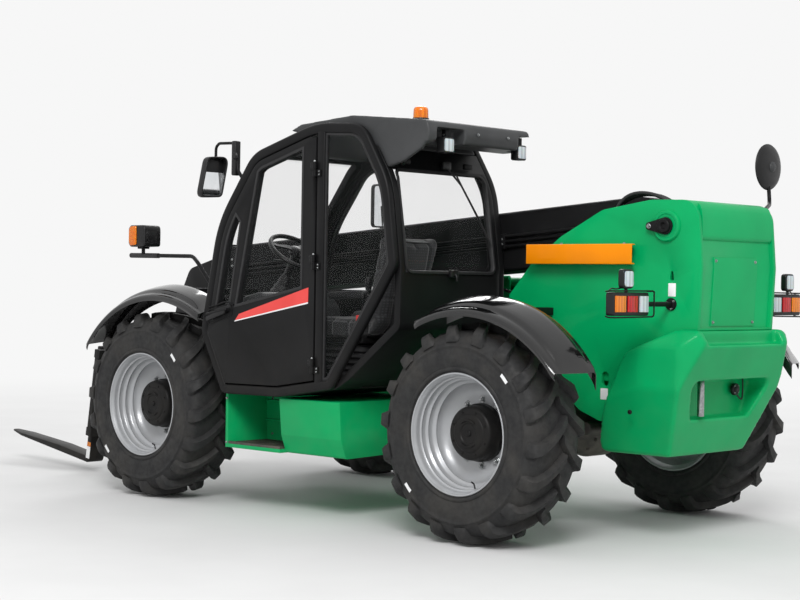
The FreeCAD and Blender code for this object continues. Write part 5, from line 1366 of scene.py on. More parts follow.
def fenders():
    parts = Parts()
    rear = (((0.312, 1.175), (-0.150, 1.244), (-0.655, 0.940)), ((0.282, 1.253), (-0.106, 1.320), (-0.745, 0.945)))
    front = (((3.285, 0.950), (2.640, 1.288), (2.140, 1.170)), ((3.340, 0.970), (2.640, 1.348), (2.180, 1.240)))
    for outer, inner in (rear, front):
        parts.both_sides(mudguard(outer, inner), "gloss", soft=math.radians(70))
    for low, high in (((0.000, 0.370, 1.222), (0.060, 0.958, 1.266)), ((2.580, 0.300, 0.820), (2.650, 0.318, 1.340)),
                      ((2.580, 0.300, 1.296), (2.650, 0.958, 1.340))):
        parts.both_sides(box(low, high, 0.005), "black")
    parts.both_sides(slab(((0.320, 1.290, 0), (0.320, 1.110, 0.02), (0.560, 1.290, 0.02)), "yz", 2.600, 2.612, 0.003),
                     "black")
    heads = [((x, y, z), (0, 0, -1), 0.010) for x, z in ((0.016, 1.222), (0.044, 1.222), (2.600, 1.296), (2.630, 1.296))
             for y in (0.900, 0.936)]
    parts.both_sides(fixings(heads), "steel")
    parts.settle("mudguards", "chassis", "fenders")


# Rear end.

def carved(shape, *cutters):
    """The shape with other shapes cut out of it."""
    item = as_object(shape)
    tools = [as_object(cutter) for cutter in cutters]
    for tool in tools:
        cut = item.modifiers.new("cut", "BOOLEAN")
        cut.operation = "DIFFERENCE"
        cut.solver = "EXACT"
        cut.object = tool
    mesh = evaluated(item)
    for tool in tools:
        bpy.data.objects.remove(tool)
    result = bmesh.new()
    result.from_mesh(mesh)
    bpy.data.meshes.remove(mesh)
    return result


def ballast():
    parts = Parts()
    ledge = box((-1.200, -0.372, 1.088), (-0.968, 0.372, 1.300), 0.012, 3)
    whole = carved(cad_copy("counterweight"), ledge)
    parts.take(moulded(whole, 0.010, 8, 0.45), "green_iron", soft=math.radians(60))
    plug = lathe(((0.0, 0.030), (0.012, 0.030), (0.016, 0.026), (0.020, 0.026), (0.022, 0.020), (0.031, 0.019),
                  (0.034, 0.015), (0.034, 0.0), (0.0, 0.0)), 32)
    parts.take(plug, "plastic", at(-0.822, -0.205, 0.830) @ turned(math.pi / 2, "Z"))
    parts.take(fixings([((-0.842, -0.205 + 0.026 * math.cos(a), 0.830 + 0.026 * math.sin(a)), (-1, 0, 0), 0.005)
                        for a in (0.8, 2.35, 3.9, 5.5)]), "steel")
    lead = [(-0.832, -0.222, 0.800), (-0.836, -0.262, 0.760), (-0.832, -0.285, 0.800), (-0.826, -0.290, 0.892)]
    parts.take(tube(lead, 0.0045, curved=True, sides=3), "rubber")
    parts.both_sides(lathe(((0.0, 0.006), (0.008, 0.006), (0.012, 0.002), (0.013, -0.004)), 20), "black",
                     place=at(-0.626, 0.499, 0.720))
    parts.settle("ballast_casting", "chassis", "counterweight")
    pin = Parts()
    pin.take(lathe(((0.0, 0.0), (0.017, 0.0), (0.019, 0.003), (0.019, 0.190), (0.017, 0.194), (0.0, 0.194)), 32),
             "steel", at(-0.885, 0.215, 0.8945) @ turned(-math.pi / 2, "X"))
    pin.settle("tow_pin", "chassis", "hitch_pin")


def pivot_pin():
    """The boom's pivot pin, held each side by a keeper plate with one bolt."""
    parts = Parts()
    x, z = BOOM_PIVOT
    parts.take(lathe(((0.0, -0.396), (0.036, -0.396), (0.040, -0.392), (0.040, 0.392), (0.036, 0.396), (0.0, 0.396)), 48),
               "steel", at(x, 0, z))
    angles = [math.pi * (0.5 + k / 16) for k in range(17)]
    plate = [(x + 0.047 * math.cos(a), z + 0.047 * math.sin(a), 0) for a in angles]
    plate += [(x + 0.100 + 0.022 * math.cos(a), z + 0.022 * math.sin(a), 0) for a in [a - math.pi for a in angles]]
    parts.both_sides(slab(plate, "xz", 0.387, 0.400, 0.003), "black")
    ring = lathe(((0.0, 0.404), (0.012, 0.404), (0.016, 0.412), (0.020, 0.416), (0.034, 0.416), (0.038, 0.412),
                  (0.039, 0.398)), 40)
    parts.both_sides(ring, "black", place=at(x, 0, z))
    parts.both_sides(fixings([((x + 0.100, 0.400, z), (0, 1, 0), 0.017)]), "steel")
    parts.settle("pivot_pin_and_keepers", "chassis", "boom_pivot_pin")


def tower_back_x(z):
    """Where the tower's rear plate stands at a height."""
    tower = frame["nodes"]["tower"]
    surface = BVHTree.FromPolygons([v.co for v in tower.data.vertices], [tuple(p.vertices) for p in tower.data.polygons])
    hit = surface.ray_cast(spot(-3.0, 0.02, z), Vector((1, 0, 0)))[0]
    return hit.x - REAR_AXLE_X


def tower_fittings():
    parts = Parts()
    ring = lathe(((0.060, 0.372), (0.062, 0.386), (0.066, 0.3895), (0.078, 0.3895), (0.083, 0.385), (0.086, 0.368)), 64,
                 ring=True)
    parts.both_sides(ring, "green", place=at(BOOM_PIVOT[0], 0, BOOM_PIVOT[1]))
    levels = [1.186 + 0.367 * k / 10 for k in range(11)]
    cover = skin([[Vector((tower_back_x(z) + out, y, z)) for out, y in
                   ((0.004, -0.200), (-0.0035, -0.1985), (-0.0035, 0.2265), (0.004, 0.228))] for z in levels])
    parts.take(cover, "green", soft=math.radians(30))
    crown = [Vector((x, z)) for x, z in ((-0.950, 1.640), (-0.958, 1.646), (-0.963, 1.656), (-0.964, 1.668),
                                         (-0.962, 1.760), (-0.957, 1.800), (-0.944, 1.826), (-0.930, 1.838),
                                         (-0.930, 1.820), (-0.944, 1.640))]
    rings = [[Vector((p.x, y, p.y)) for p in crown] for y in (-0.343, 0.343)]
    parts.take(skin(rings), "green", soft=math.radians(50))
    screws = [((tower_back_x(z) - 0.0035, y, z), (-1, 0, 0), 0.011) for y in (-0.180, 0.208) for z in (1.206, 1.533)]
    parts.take(fixings(screws), "steel")
    for corners in (((-0.820, 1.340, 0.004), (-0.772, 1.340, 0.004), (-0.772, 1.411, 0.004), (-0.820, 1.411, 0.004)),
                    ((-0.386, 0.767, 0.004), (-0.336, 0.767, 0.004), (-0.336, 0.829, 0.004), (-0.386, 0.829, 0.004))):
        parts.both_sides(slab(corners, "xz", 0.368, 0.3708, 0.0003), "white_film")
    parts.settle("tower_fittings", "chassis")
    prop = Parts()
    nuts = [((x, 0.412, 1.620), (0, 0, 1), 0.013) for x in (-0.510, -0.080)]
    prop.take(fixings(nuts), "steel")
    prop.settle("prop_bolts", "chassis")


def tower_hoses():
    """Hoses that rise from the tower into the boom's tail, between its side plates."""
    for i, y in enumerate((0.285, 0.310, 0.335)):
        loop = [(-0.300 - 0.02 * i, y, 1.560), (-0.330 - 0.02 * i, y, 1.800), (-0.480, y - 0.02, 1.902 + 0.006 * i),
                (-0.700, y - 0.03, 1.880), (-0.780, y - 0.03, 1.790)]
        hose = Parts()
        hose.take(tube(loop, 0.010, curved=True, sides=4), "rubber")
        hose.settle(f"tower_hose_{i}", "chassis")


# Boom and carriage.

def along_boom(parts, shape, name, **options):
    """Takes a shape drawn along X from the boom's pivot and Z above its middle line."""
    slope = Matrix.Rotation(BOOM_SLOPE, 4, "Y")
    return parts.take(shape, name, at(BOOM_PIVOT[0], 0, BOOM_PIVOT[1]) @ slope, **options)


def boom_fittings():
    pipes = Parts()
    for step in (-1, 0, 1):
        level = 0.030 + step * 0.030
        along_boom(pipes, tube([(0.420, 0.166, level), (3.750, 0.166, level)], 0.010, sides=4), "black")
    clamp = box((-0.020, 0.150, -0.016), (0.020, 0.181, 0.076), 0.004)
    row = repeated("row", clamp, "plastic", Count=5, Start=Vector((0.540, 0, 0)), Step=Vector((0.7725, 0, 0)))
    along_boom(pipes, row, "plastic")
    heads = [((0.540 + 0.7725 * i, 0.181, 0.030 + s), (0, 1, 0), 0.009) for i in range(5) for s in (-0.015, 0.015)]
    along_boom(pipes, fixings(heads), "steel")
    pipes.settle("boom_pipe_run", "boom_outer", "boom_pipes")
    dress_up = Parts()
    for side in (-1, 1):
        for v in (-0.070, 0.090):
            heads = [((u, side * 0.150, v + d), (0, side, 0), 0.012) for u in (3.700, 3.790) for d in (-0.022, 0.022)]
            along_boom(dress_up, fixings(heads), "steel")
    heads = [((u, y, 0.205), (0, 0, 1), 0.012) for u in (3.700, 3.790) for y in (-0.090, 0.090)]
    along_boom(dress_up, fixings(heads), "steel")
    dress_up.settle("boom_pad_screws", "boom_outer")


def carriage_fittings():
    parts = Parts()
    for y, side in ((0.565, 1), (0.435, -1), (-0.435, 1), (-0.565, -1)):
        face = y + side * 0.0006
        for name, corners in (("white_film", ((4.094, 0.088), (4.134, 0.094), (4.120, 0.180), (4.080, 0.174))),
                              ("amber", ((4.0798, 0.1755), (4.1198, 0.1815), (4.115, 0.212), (4.075, 0.206)))):
            low, high = sorted((y - side * 0.001, face))
            parts.take(slab([(x, z, 0.002) for x, z in corners], "xz", low, high), name)
    for y in (-0.500, 0.500):
        stop = lathe(((0.0, 0.0), (0.014, 0.0), (0.016, 0.003), (0.016, 0.034), (0.012, 0.040), (0.0, 0.040)), 24)
        parts.take(stop, "steel", at(3.957, y, 0.872) @ turned(math.pi / 2, "X"))
        parts.take(tube([(3.957, y, 0.905), (3.957, y - 0.045, 0.912)], 0.006, sides=3), "steel")
    heads = [((3.885, side * 0.1325, 0.430 + d), (0, side, 0), 0.012) for side in (-1, 1) for d in (-0.045, 0.045)]
    parts.take(fixings(heads), "steel")
    parts.settle("carriage_fittings", "carriage")


# Cab inside.

def steering_wheel(parts, place):
    rim = []
    for k in range(64):
        turn = TAU * k / 64
        middle = Vector((math.cos(turn), math.sin(turn), 0)) * 0.176
        rim.append([middle + Vector((math.cos(turn), math.sin(turn), 0)) * 0.0145 * math.cos(a)
                    + Vector((0, 0, 0.0145 * math.sin(a))) for a in (TAU * j / 12 for j in range(12))])
    parts.take(skin(rim, loop=True), "plastic", place)
    for turn in (math.pi, -math.pi / 3, math.pi / 3):
        spoke = skin([[(r, y, z + (0.012 if r < 0.1 else 0.0)) for y, z in
                       ((-w, -0.006), (w, -0.006), (w, 0.006), (-w, 0.006))]
                      for r, w in ((0.030, 0.024), (0.075, 0.018), (0.130, 0.014), (0.172, 0.016))])
        parts.take(spoke, "plastic", place @ turned(turn, "Z"))
    hub = lathe(((0.0, 0.030), (0.030, 0.028), (0.044, 0.020), (0.048, 0.006), (0.046, -0.016), (0.030, -0.030),
                 (0.0, -0.030)), 40)
    parts.take(hub, "plastic", place @ turned(math.pi / 2, "X"))


def driver_place():
    parts = Parts()
    tilt = at(1.798, 0.6825, 1.573) @ turned(math.radians(-35.8), "Y")
    steering_wheel(parts, tilt)
    parts.take(tube([(1.955, 0.6825, 1.285), (1.806, 0.6825, 1.560)], 0.026, sides=5), "plastic")
    boot = skin([[(1.955 - 0.149 * t + r * math.cos(a) * 0.88, 0.6825 + r * math.sin(a), 1.285 + 0.275 * t + r * math.cos(a) * 0.47)
                  for a in (TAU * j / 24 for j in range(24))]
                 for t, r in ((0.0, 0.075), (0.08, 0.066), (0.10, 0.070), (0.20, 0.055), (0.22, 0.059), (0.34, 0.044),
                              (0.36, 0.047), (0.50, 0.036), (0.52, 0.030))])
    parts.take(boot, "rubber")
    pod = slab(((1.640, 0.716, 0.0), (1.870, 0.716, 0.0), (1.988, 1.030, 0.03), (1.980, 1.290, 0.06),
                (1.792, 1.328, 0.06), (1.704, 1.230, 0.05)), "xz", 0.385, 0.980, 0.014, 6, 3)
    parts.take(pod, "grey")
    face = slab(((0.470, 0, 0.03), (0.890, 0, 0.03), (0.890, 0.135, 0.04), (0.470, 0.135, 0.04)), "yz", -0.002, 0.010,
                0.003, 5)
    tip = at(1.716, 0, 1.205) @ turned(math.radians(41), "Y")
    parts.take(face, "plastic", tip)
    for y in (0.560, 0.680, 0.800):
        dial = lathe(((0.0, 0.004), (0.034, 0.004), (0.037, 0.009), (0.042, 0.009), (0.043, 0.0)), 36)
        parts.take(dial, "plastic", tip @ at(-0.004, y, 0.075) @ turned(math.pi / 2, "Z"))
        parts.take(lathe(((0.0, 0.0045), (0.033, 0.0045), (0.033, 0.003)), 36), "white_film",
                   tip @ at(-0.0045, y, 0.075) @ turned(math.pi / 2, "Z"))
    for y, lean in ((0.600, 18), (0.770, -18)):
        stalk = tube([(1.838, 0.6825, 1.500), (1.800, y + (0.05 if y > 0.7 else -0.05), 1.520),
                      (1.790, y + (0.11 if y > 0.7 else -0.11), 1.522)], 0.006, 0.03, 3)
        parts.take(stalk, "plastic")
    for y in (0.560, 0.665, 0.800):
        parts.take(box((1.600, y - 0.035, 0.800), (1.614, y + 0.035, 0.890), 0.005), "rubber")
        parts.take(tube([(1.614, y, 0.850), (1.720, y, 0.870)], 0.008, sides=3), "black")
    side = slab(((1.090, 1.060, 0.02), (1.540, 1.060, 0.05), (1.600, 1.160, 0.05), (1.540, 1.215, 0.04),
                 (1.180, 1.200, 0.05), (1.100, 1.160, 0.03)), "xz", 0.285, 0.420, 0.012, 6, 3)
    parts.take(side, "grey")
    parts.take(tube([(1.480, 0.350, 1.205), (1.486, 0.352, 1.300)], 0.010, sides=4), "rubber")
    grip = skin([[(1.488 + w * math.cos(a) * 0.9, 0.352 + w * math.sin(a), z) for a in (TAU * j / 20 for j in range(20))]
                 for z, w in ((1.285, 0.017), (1.300, 0.021), (1.340, 0.020), (1.380, 0.024), (1.405, 0.026), (1.420, 0.020),
                              (1.424, 0.008))])
    parts.take(grip, "plastic")
    for x, name in ((1.240, "red"), (1.290, "white_film"), (1.340, "amber"), (1.390, "white_film")):
        parts.take(box((x - 0.012, 0.336, 1.198), (x + 0.012, 0.362, 1.218), 0.003), name)
    parts.settle("dashboard_and_wheel", "chassis", "console")


def loose_shapes(shape):
    """The separate solids of a shape."""
    left, found = set(shape.verts), []
    while left:
        group, edge = set(), [left.pop()]
        while edge:
            vert = edge.pop()
            group.add(vert)
            for link in vert.link_edges:
                other = link.other_vert(vert)
                if other in left:
                    left.discard(other)
                    edge.append(other)
        twin = bmesh.new()
        new = {vert: twin.verts.new(vert.co) for vert in group}
        for face in shape.faces:
            if face.verts[0] in group:
                twin.faces.new([new[vert] for vert in face.verts])
        found.append(twin)
    shape.free()
    return found


def stuffed(shape, cap=0.022, shrink=0.010):
    """A foam cushion's cover, blown up by a cloth simulation from a slightly smaller shape."""
    shape.normal_update()
    for vert in shape.verts:
        vert.co -= vert.normal * shrink
    start = moulded(shape, 0.008, 3, 1)
    item = bpy.data.objects.new("cover", start)
    scene = bpy.context.scene
    scene.collection.objects.link(item)
    cloth = item.modifiers.new("cover", "CLOTH")
    cloth.settings.quality = 5
    cloth.settings.use_pressure = True
    cloth.settings.uniform_pressure_force = 4.0
    cloth.settings.effector_weights.gravity = 0
    cloth.point_cache.frame_start, cloth.point_cache.frame_end = 1, 20
    for number in range(1, 21):
        scene.frame_set(number)
    full = item.evaluated_get(bpy.context.evaluated_depsgraph_get()).data
    places = [v.co.copy() for v in full.vertices]
    item.modifiers.clear()
    scene.frame_set(1)
    for vert, place in zip(start.vertices, places):
        move = place - vert.co
        vert.co += move * min(1.0, cap / max(move.length, 1e-9))
    item.modifiers.new("finer", "SUBSURF").levels = 1
    return evaluated(item)


def sewn(mesh, channels):
    """Presses sewn channels into a cushion's cover; each is an axis and a place on it."""
    normals = [v.normal.copy() for v in mesh.vertices]
    for vert, normal in zip(mesh.vertices, normals):
        for axis, place in channels:
            if abs(normal[axis]) < 0.6:
                vert.co -= normal * 0.007 * math.exp(-((vert.co[axis] - place) / 0.009) ** 2)
    return mesh


def seat():
    base = Parts()
    folds = []
    for i in range(6):
        z = 0.812 + i * 0.036
        for d, w in ((0.0, 0.010), (0.012, 0.0), (0.020, 0.0), (0.032, 0.010)):
            edge = outline(((0.995 - w, 0.475 - w, 0.05), (1.385 + w, 0.475 - w, 0.05), (1.385 + w, 0.890 + w, 0.05),
                            (0.995 - w, 0.890 + w, 0.05)), 5)
            folds.append([Vector((p.x, p.y, z + d)) for p in edge])
    base.take(skin(folds), "rubber", soft=math.radians(25))
    base.take(box((0.985, 0.463, 0.772), (1.395, 0.902, 0.812), 0.008), "black")
    base.take(box((0.985, 0.463, 1.034), (1.395, 0.902, 1.066), 0.006), "black")
    base.settle("seat_suspension", "chassis", "seat_base")
    pad, back = sorted(loose_shapes(cad_copy("seat_cushions")), key=lambda s: max(v.co.z for v in s.verts))
    middle = sum(v.co.y for v in pad.verts) / len(pad.verts)
    for name, shape, channels in (("seat_pad", pad, ((1, middle - 0.125), (1, middle + 0.125), (0, 1.130), (0, 1.270))),
                                  ("seat_back", back, ((1, middle - 0.115), (1, middle + 0.115), (2, 1.300), (2, 1.460)))):
        cushion = Parts()
        cushion.take(sewn(stuffed(shape), channels), "cloth", soft=math.radians(75))
        cushion.settle(name, "chassis", "seat_cushions")
    trim = Parts()
    for y in (0.440, 0.925):
        arm = slab(((0.940, 1.300, 0.02), (1.230, 1.290, 0.03), (1.236, 1.332, 0.03), (0.940, 1.345, 0.02)), "xz",
                   y - 0.026, y + 0.026, 0.012, 5, 3)
        trim.take(arm, "vinyl")
        trim.take(box((0.925, y - 0.010, 1.200), (0.965, y + 0.010, 1.318), 0.004), "black")
    shell = slab(((0.905, 1.120, 0.02), (0.920, 1.120, 0.01), (0.812, 1.640, 0.02), (0.790, 1.630, 0.02)), "xz",
                 0.500, 0.865, 0.006)
    trim.take(shell, "plastic")
    trim.settle("seat_armrests_and_shell", "chassis")
    belt = Parts()
    belt.take(box((0.990, 0.915, 1.060), (1.030, 0.921, 1.150), 0.002), "webbing")
    belt.take(box((0.996, 0.911, 1.140), (1.024, 0.925, 1.200), 0.004), "red_film")
    belt.settle("seat_belt_buckle", "chassis")


# Cab back and wiper, steps, hood, axles and cylinders.

def cab_back():
    parts = Parts()
    for y in (0.420, 0.950):
        z = 2.075
        parts.take(box((cab_back_x(z) - 0.020, y - 0.035, z - 0.014), (cab_back_x(z) - 0.002, y + 0.035, z + 0.018), 0.004),
                   "black")
    parts.take(tube([(0.700, 0.985, 2.180), (0.600, 0.985, 2.060)], 0.011, sides=4), "steel")
    x = cab_back_x(1.455)
    parts.take(box((x - 0.030, 0.650, 1.425), (x - 0.002, 0.715, 1.470), 0.006), "plastic")
    parts.take(tube([(x - 0.028, 0.682, 1.444), (x - 0.042, 0.682, 1.430), (x - 0.042, 0.682, 1.405)], 0.006, sides=3),
               "plastic")
    wiper = [(cab_back_x(z) - out, y, z) for out, y, z in ((0.020, 0.620, 2.062), (0.024, 0.560, 1.960), (0.018, 0.420, 1.760))]
    parts.take(tube(wiper, 0.006, 0.05, 3), "plastic")
    blade = [(cab_back_x(z) - 0.014, y, z) for y, z in ((0.555, 2.020), (0.330, 1.620))]
    parts.take(tube(blade, 0.005, 0.05, 3), "rubber")
    motor = box((cab_back_x(2.07) - 0.036, 0.590, 2.045), (cab_back_x(2.07) - 0.006, 0.660, 2.095), 0.008)
    parts.take(motor, "plastic")
    parts.settle("cab_back_fittings", "chassis")


def steps():
    """Teeth of the step, its side lips and the screws of the boxes."""
    parts = Parts()
    tooth = slab(((0.0, 0.0, 0), (0.016, 0.0, 0), (0.013, 0.012, 0.003), (0.003, 0.012, 0.003)), "xz", 0.775, 1.068, 0.001)
    row = repeated("row", tooth, "tread", Count=17, Start=Vector((1.500, 0, 0.392)), Step=Vector((0.0268, 0, 0)))
    parts.take(row, "tread")
    parts.take(box((1.482, 1.070, 0.388), (1.952, 1.088, 0.408), 0.004), "tread")
    for z in (0.520, 0.640):
        parts.take(box((1.482, 0.772, z), (1.950, 0.786, z + 0.012), 0.003), "green")
    screws = [((x, 1.0905, z), (0, 1, 0), 0.010) for x, z in ((1.964, 0.400), (1.964, 0.670))]
    screws += [((x, 0.771, z), (0, 1, 0), 0.011) for x in (1.540, 1.900) for z in (0.440, 0.660)]
    parts.take(fixings(screws), "steel")
    parts.settle("step_fittings", "chassis")


def hood():
    """The engine hood's grille, latches and lifting handle, on the machine's right."""
    parts = Parts()
    slat = slab(((0.0, 0.0, 0), (0.010, 0.004, 0.002), (0.010, 0.014, 0.002), (0.0, 0.018, 0)), "yz", 1.060, 1.420, 0.002)
    row = repeated("row", slat, "plastic", Count=9, Start=Vector((0, -1.1585, 0.985)), Step=Vector((0, 0, 0.024)))
    parts.take(row, "plastic")
    edge = outline(((1.045, 0.972, 0.02), (1.435, 0.972, 0.02), (1.435, 1.210, 0.02), (1.045, 1.210, 0.02)), 5)
    parts.take(swept(edge, round_section(0.0, 0.014, -1.158, -1.146, 0.004, 2)), "plastic")
    for x in (0.860, 1.820):
        latch = slab(((x - 0.022, 0.945, 0.008), (x + 0.022, 0.945, 0.008), (x + 0.022, 1.035, 0.012),
                      (x - 0.022, 1.035, 0.012)), "xz", -1.159, -1.148, 0.003)
        parts.take(latch, "plastic")
        parts.take(lathe(((0.0, -0.006), (0.009, -0.006), (0.011, -0.003), (0.011, 0.004)), 20), "steel",
                   at(x, -1.158, 1.010))
    parts.take(tube([(1.560, -1.150, 1.060), (1.560, -1.176, 1.060), (1.740, -1.176, 1.060), (1.740, -1.150, 1.060)],
                    0.008, 0.02, 4), "plastic")
    parts.settle("hood_grille_and_latches", "hood")


def undercarriage():
    parts = Parts()
    for distance in (0.0, WHEELBASE):
        for side in (-1, 1):
            heads = [((distance - 0.016 + 0.150 * math.cos(a), side * 0.152, HUB_Z + 0.150 * math.sin(a)), (0, side, 0), 0.013)
                     for a in (TAU * k / 12 for k in range(12))]
            parts.take(fixings(heads), "iron")
    parts.settle("axle_housing_bolts", "chassis")


def cylinder_fittings():
    """Gland nuts, port blocks and pipes of the lift and tilt cylinders."""
    for name, rod, nut_radius in (("lift", "lift_cylinder", 0.076), ("tilt", "tilt_cylinder", 0.054)):
        low, high = (v - Vector((REAR_AXLE_X, 0, 0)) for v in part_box(f"{rod}_barrel"))
        reach = nut_radius / 0.95
        if name == "lift":
            base, eye = Vector((-0.350, 0, 0.960)), Vector((1.116, 0, 1.347))
        else:
            base, eye = Vector((3.460, 0, 1.330)), Vector((3.881, 0, 0.796))
        way = (eye - base).normalized()
        turn = way.to_track_quat("Y", "Z").to_matrix().to_4x4()
        far = max((frame["nodes"][f"{rod}_barrel"].data.vertices[i].co - spot(*base)).dot(way)
                  for i in range(len(frame["nodes"][f"{rod}_barrel"].data.vertices)))
        parts = Parts()
        place = Matrix.Translation(base + way * far) @ turn
        gland = lathe(((reach * 0.62, 0.004), (reach * 0.90, 0.004), (reach * 1.0, 0.0), (reach * 1.02, -0.006),
                       (reach * 1.02, -0.050), (reach * 0.98, -0.056), (reach * 0.90, -0.056)), 48)
        parts.take(gland, "steel", place)
        port = box((-0.020, -0.110, reach * 0.80), (0.020, -0.060, reach + 0.030), 0.005)
        parts.take(port, "black", place)
        parts.take(tube([(0, -0.085, reach + 0.02), (0, -0.085, reach + 0.045), (0, -0.300 * (1.6 if name == "lift" else 0.7), reach + 0.045)],
                        0.009, 0.03, 4), "black", place)
        parts.settle(f"{name}_cylinder_fittings", f"{name}_barrel")


def engine():
    """The engine under the hood: block, rocker cover, intake, air filter and pulleys, inside its solid's box."""
    low, high = (corner - Vector((REAR_AXLE_X, 0, 0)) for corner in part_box("engine"))
    long, wide, tall = high - low

    def inside(a, b, c):
        return Vector((low.x + long * a, low.y + wide * b, low.z + tall * c))

    parts = Parts()
    parts.take(box(inside(0.10, 0.12, 0.14), inside(0.90, 0.88, 0.66), 0.012), "iron")
    parts.take(box(inside(0.14, 0.22, 0.0), inside(0.86, 0.78, 0.15), 0.020, 3), "iron")
    parts.take(box(inside(0.12, 0.16, 0.665), inside(0.88, 0.84, 0.80), 0.006), "iron")
    parts.take(box(inside(0.16, 0.34, 0.80), inside(0.84, 0.70, 0.97), 0.022, 4), "plastic")
    rib = box((-0.006, 0, 0), (0.006, wide * 0.80, tall * 0.44), 0.003)
    parts.take(repeated("row", rib, "iron", Count=9, Start=inside(0.16, 0.10, 0.18), Step=Vector((long * 0.085, 0, 0))), "iron")
    intake = [inside(0.20, 0.08, 0.72), inside(0.80, 0.08, 0.72)]
    parts.take(tube(intake, 0.028, sides=5), "steel")
    for a in (0.26, 0.42, 0.58, 0.74):
        parts.take(tube([inside(a, 0.08, 0.72), inside(a, 0.20, 0.72)], 0.018, sides=4), "steel")
    reach = min(wide, tall) * 0.11
    filter_can = lathe(((0.0, 0.0), (reach * 0.8, 0.0), (reach, 0.012), (reach, long * 0.44), (reach * 0.7, long * 0.47),
                        (reach * 0.4, long * 0.47), (0.0, long * 0.47)), 40)
    parts.take(filter_can, "plastic", Matrix.Translation(inside(0.20, 0.86, 0.86)) @ turned(-math.pi / 2, "Z"))
    for b, c, size in ((0.50, 0.30, 0.20), (0.26, 0.58, 0.11), (0.74, 0.58, 0.11)):
        r = min(wide, tall) * size
        pulley = lathe(((0.0, 0.0), (r * 0.3, 0.0), (r * 0.35, 0.010), (r * 0.9, 0.010), (r, 0.0), (r * 0.92, 0.012),
                        (r, 0.026), (r * 0.9, 0.030), (0.0, 0.030)), 40)
        parts.take(pulley, "steel", Matrix.Translation(inside(0.90, b, c)) @ turned(-math.pi / 2, "Z"))
    heads = [(inside(a, b, 0.80), (0, 0, 1), 0.011) for a in (0.14, 0.38, 0.62, 0.86) for b in (0.24, 0.78)]
    parts.take(fixings(heads), "steel")
    parts.settle("engine_assembly", "chassis", "engine")


# The stage: a pale floor, a pale surrounding and a soft key light.

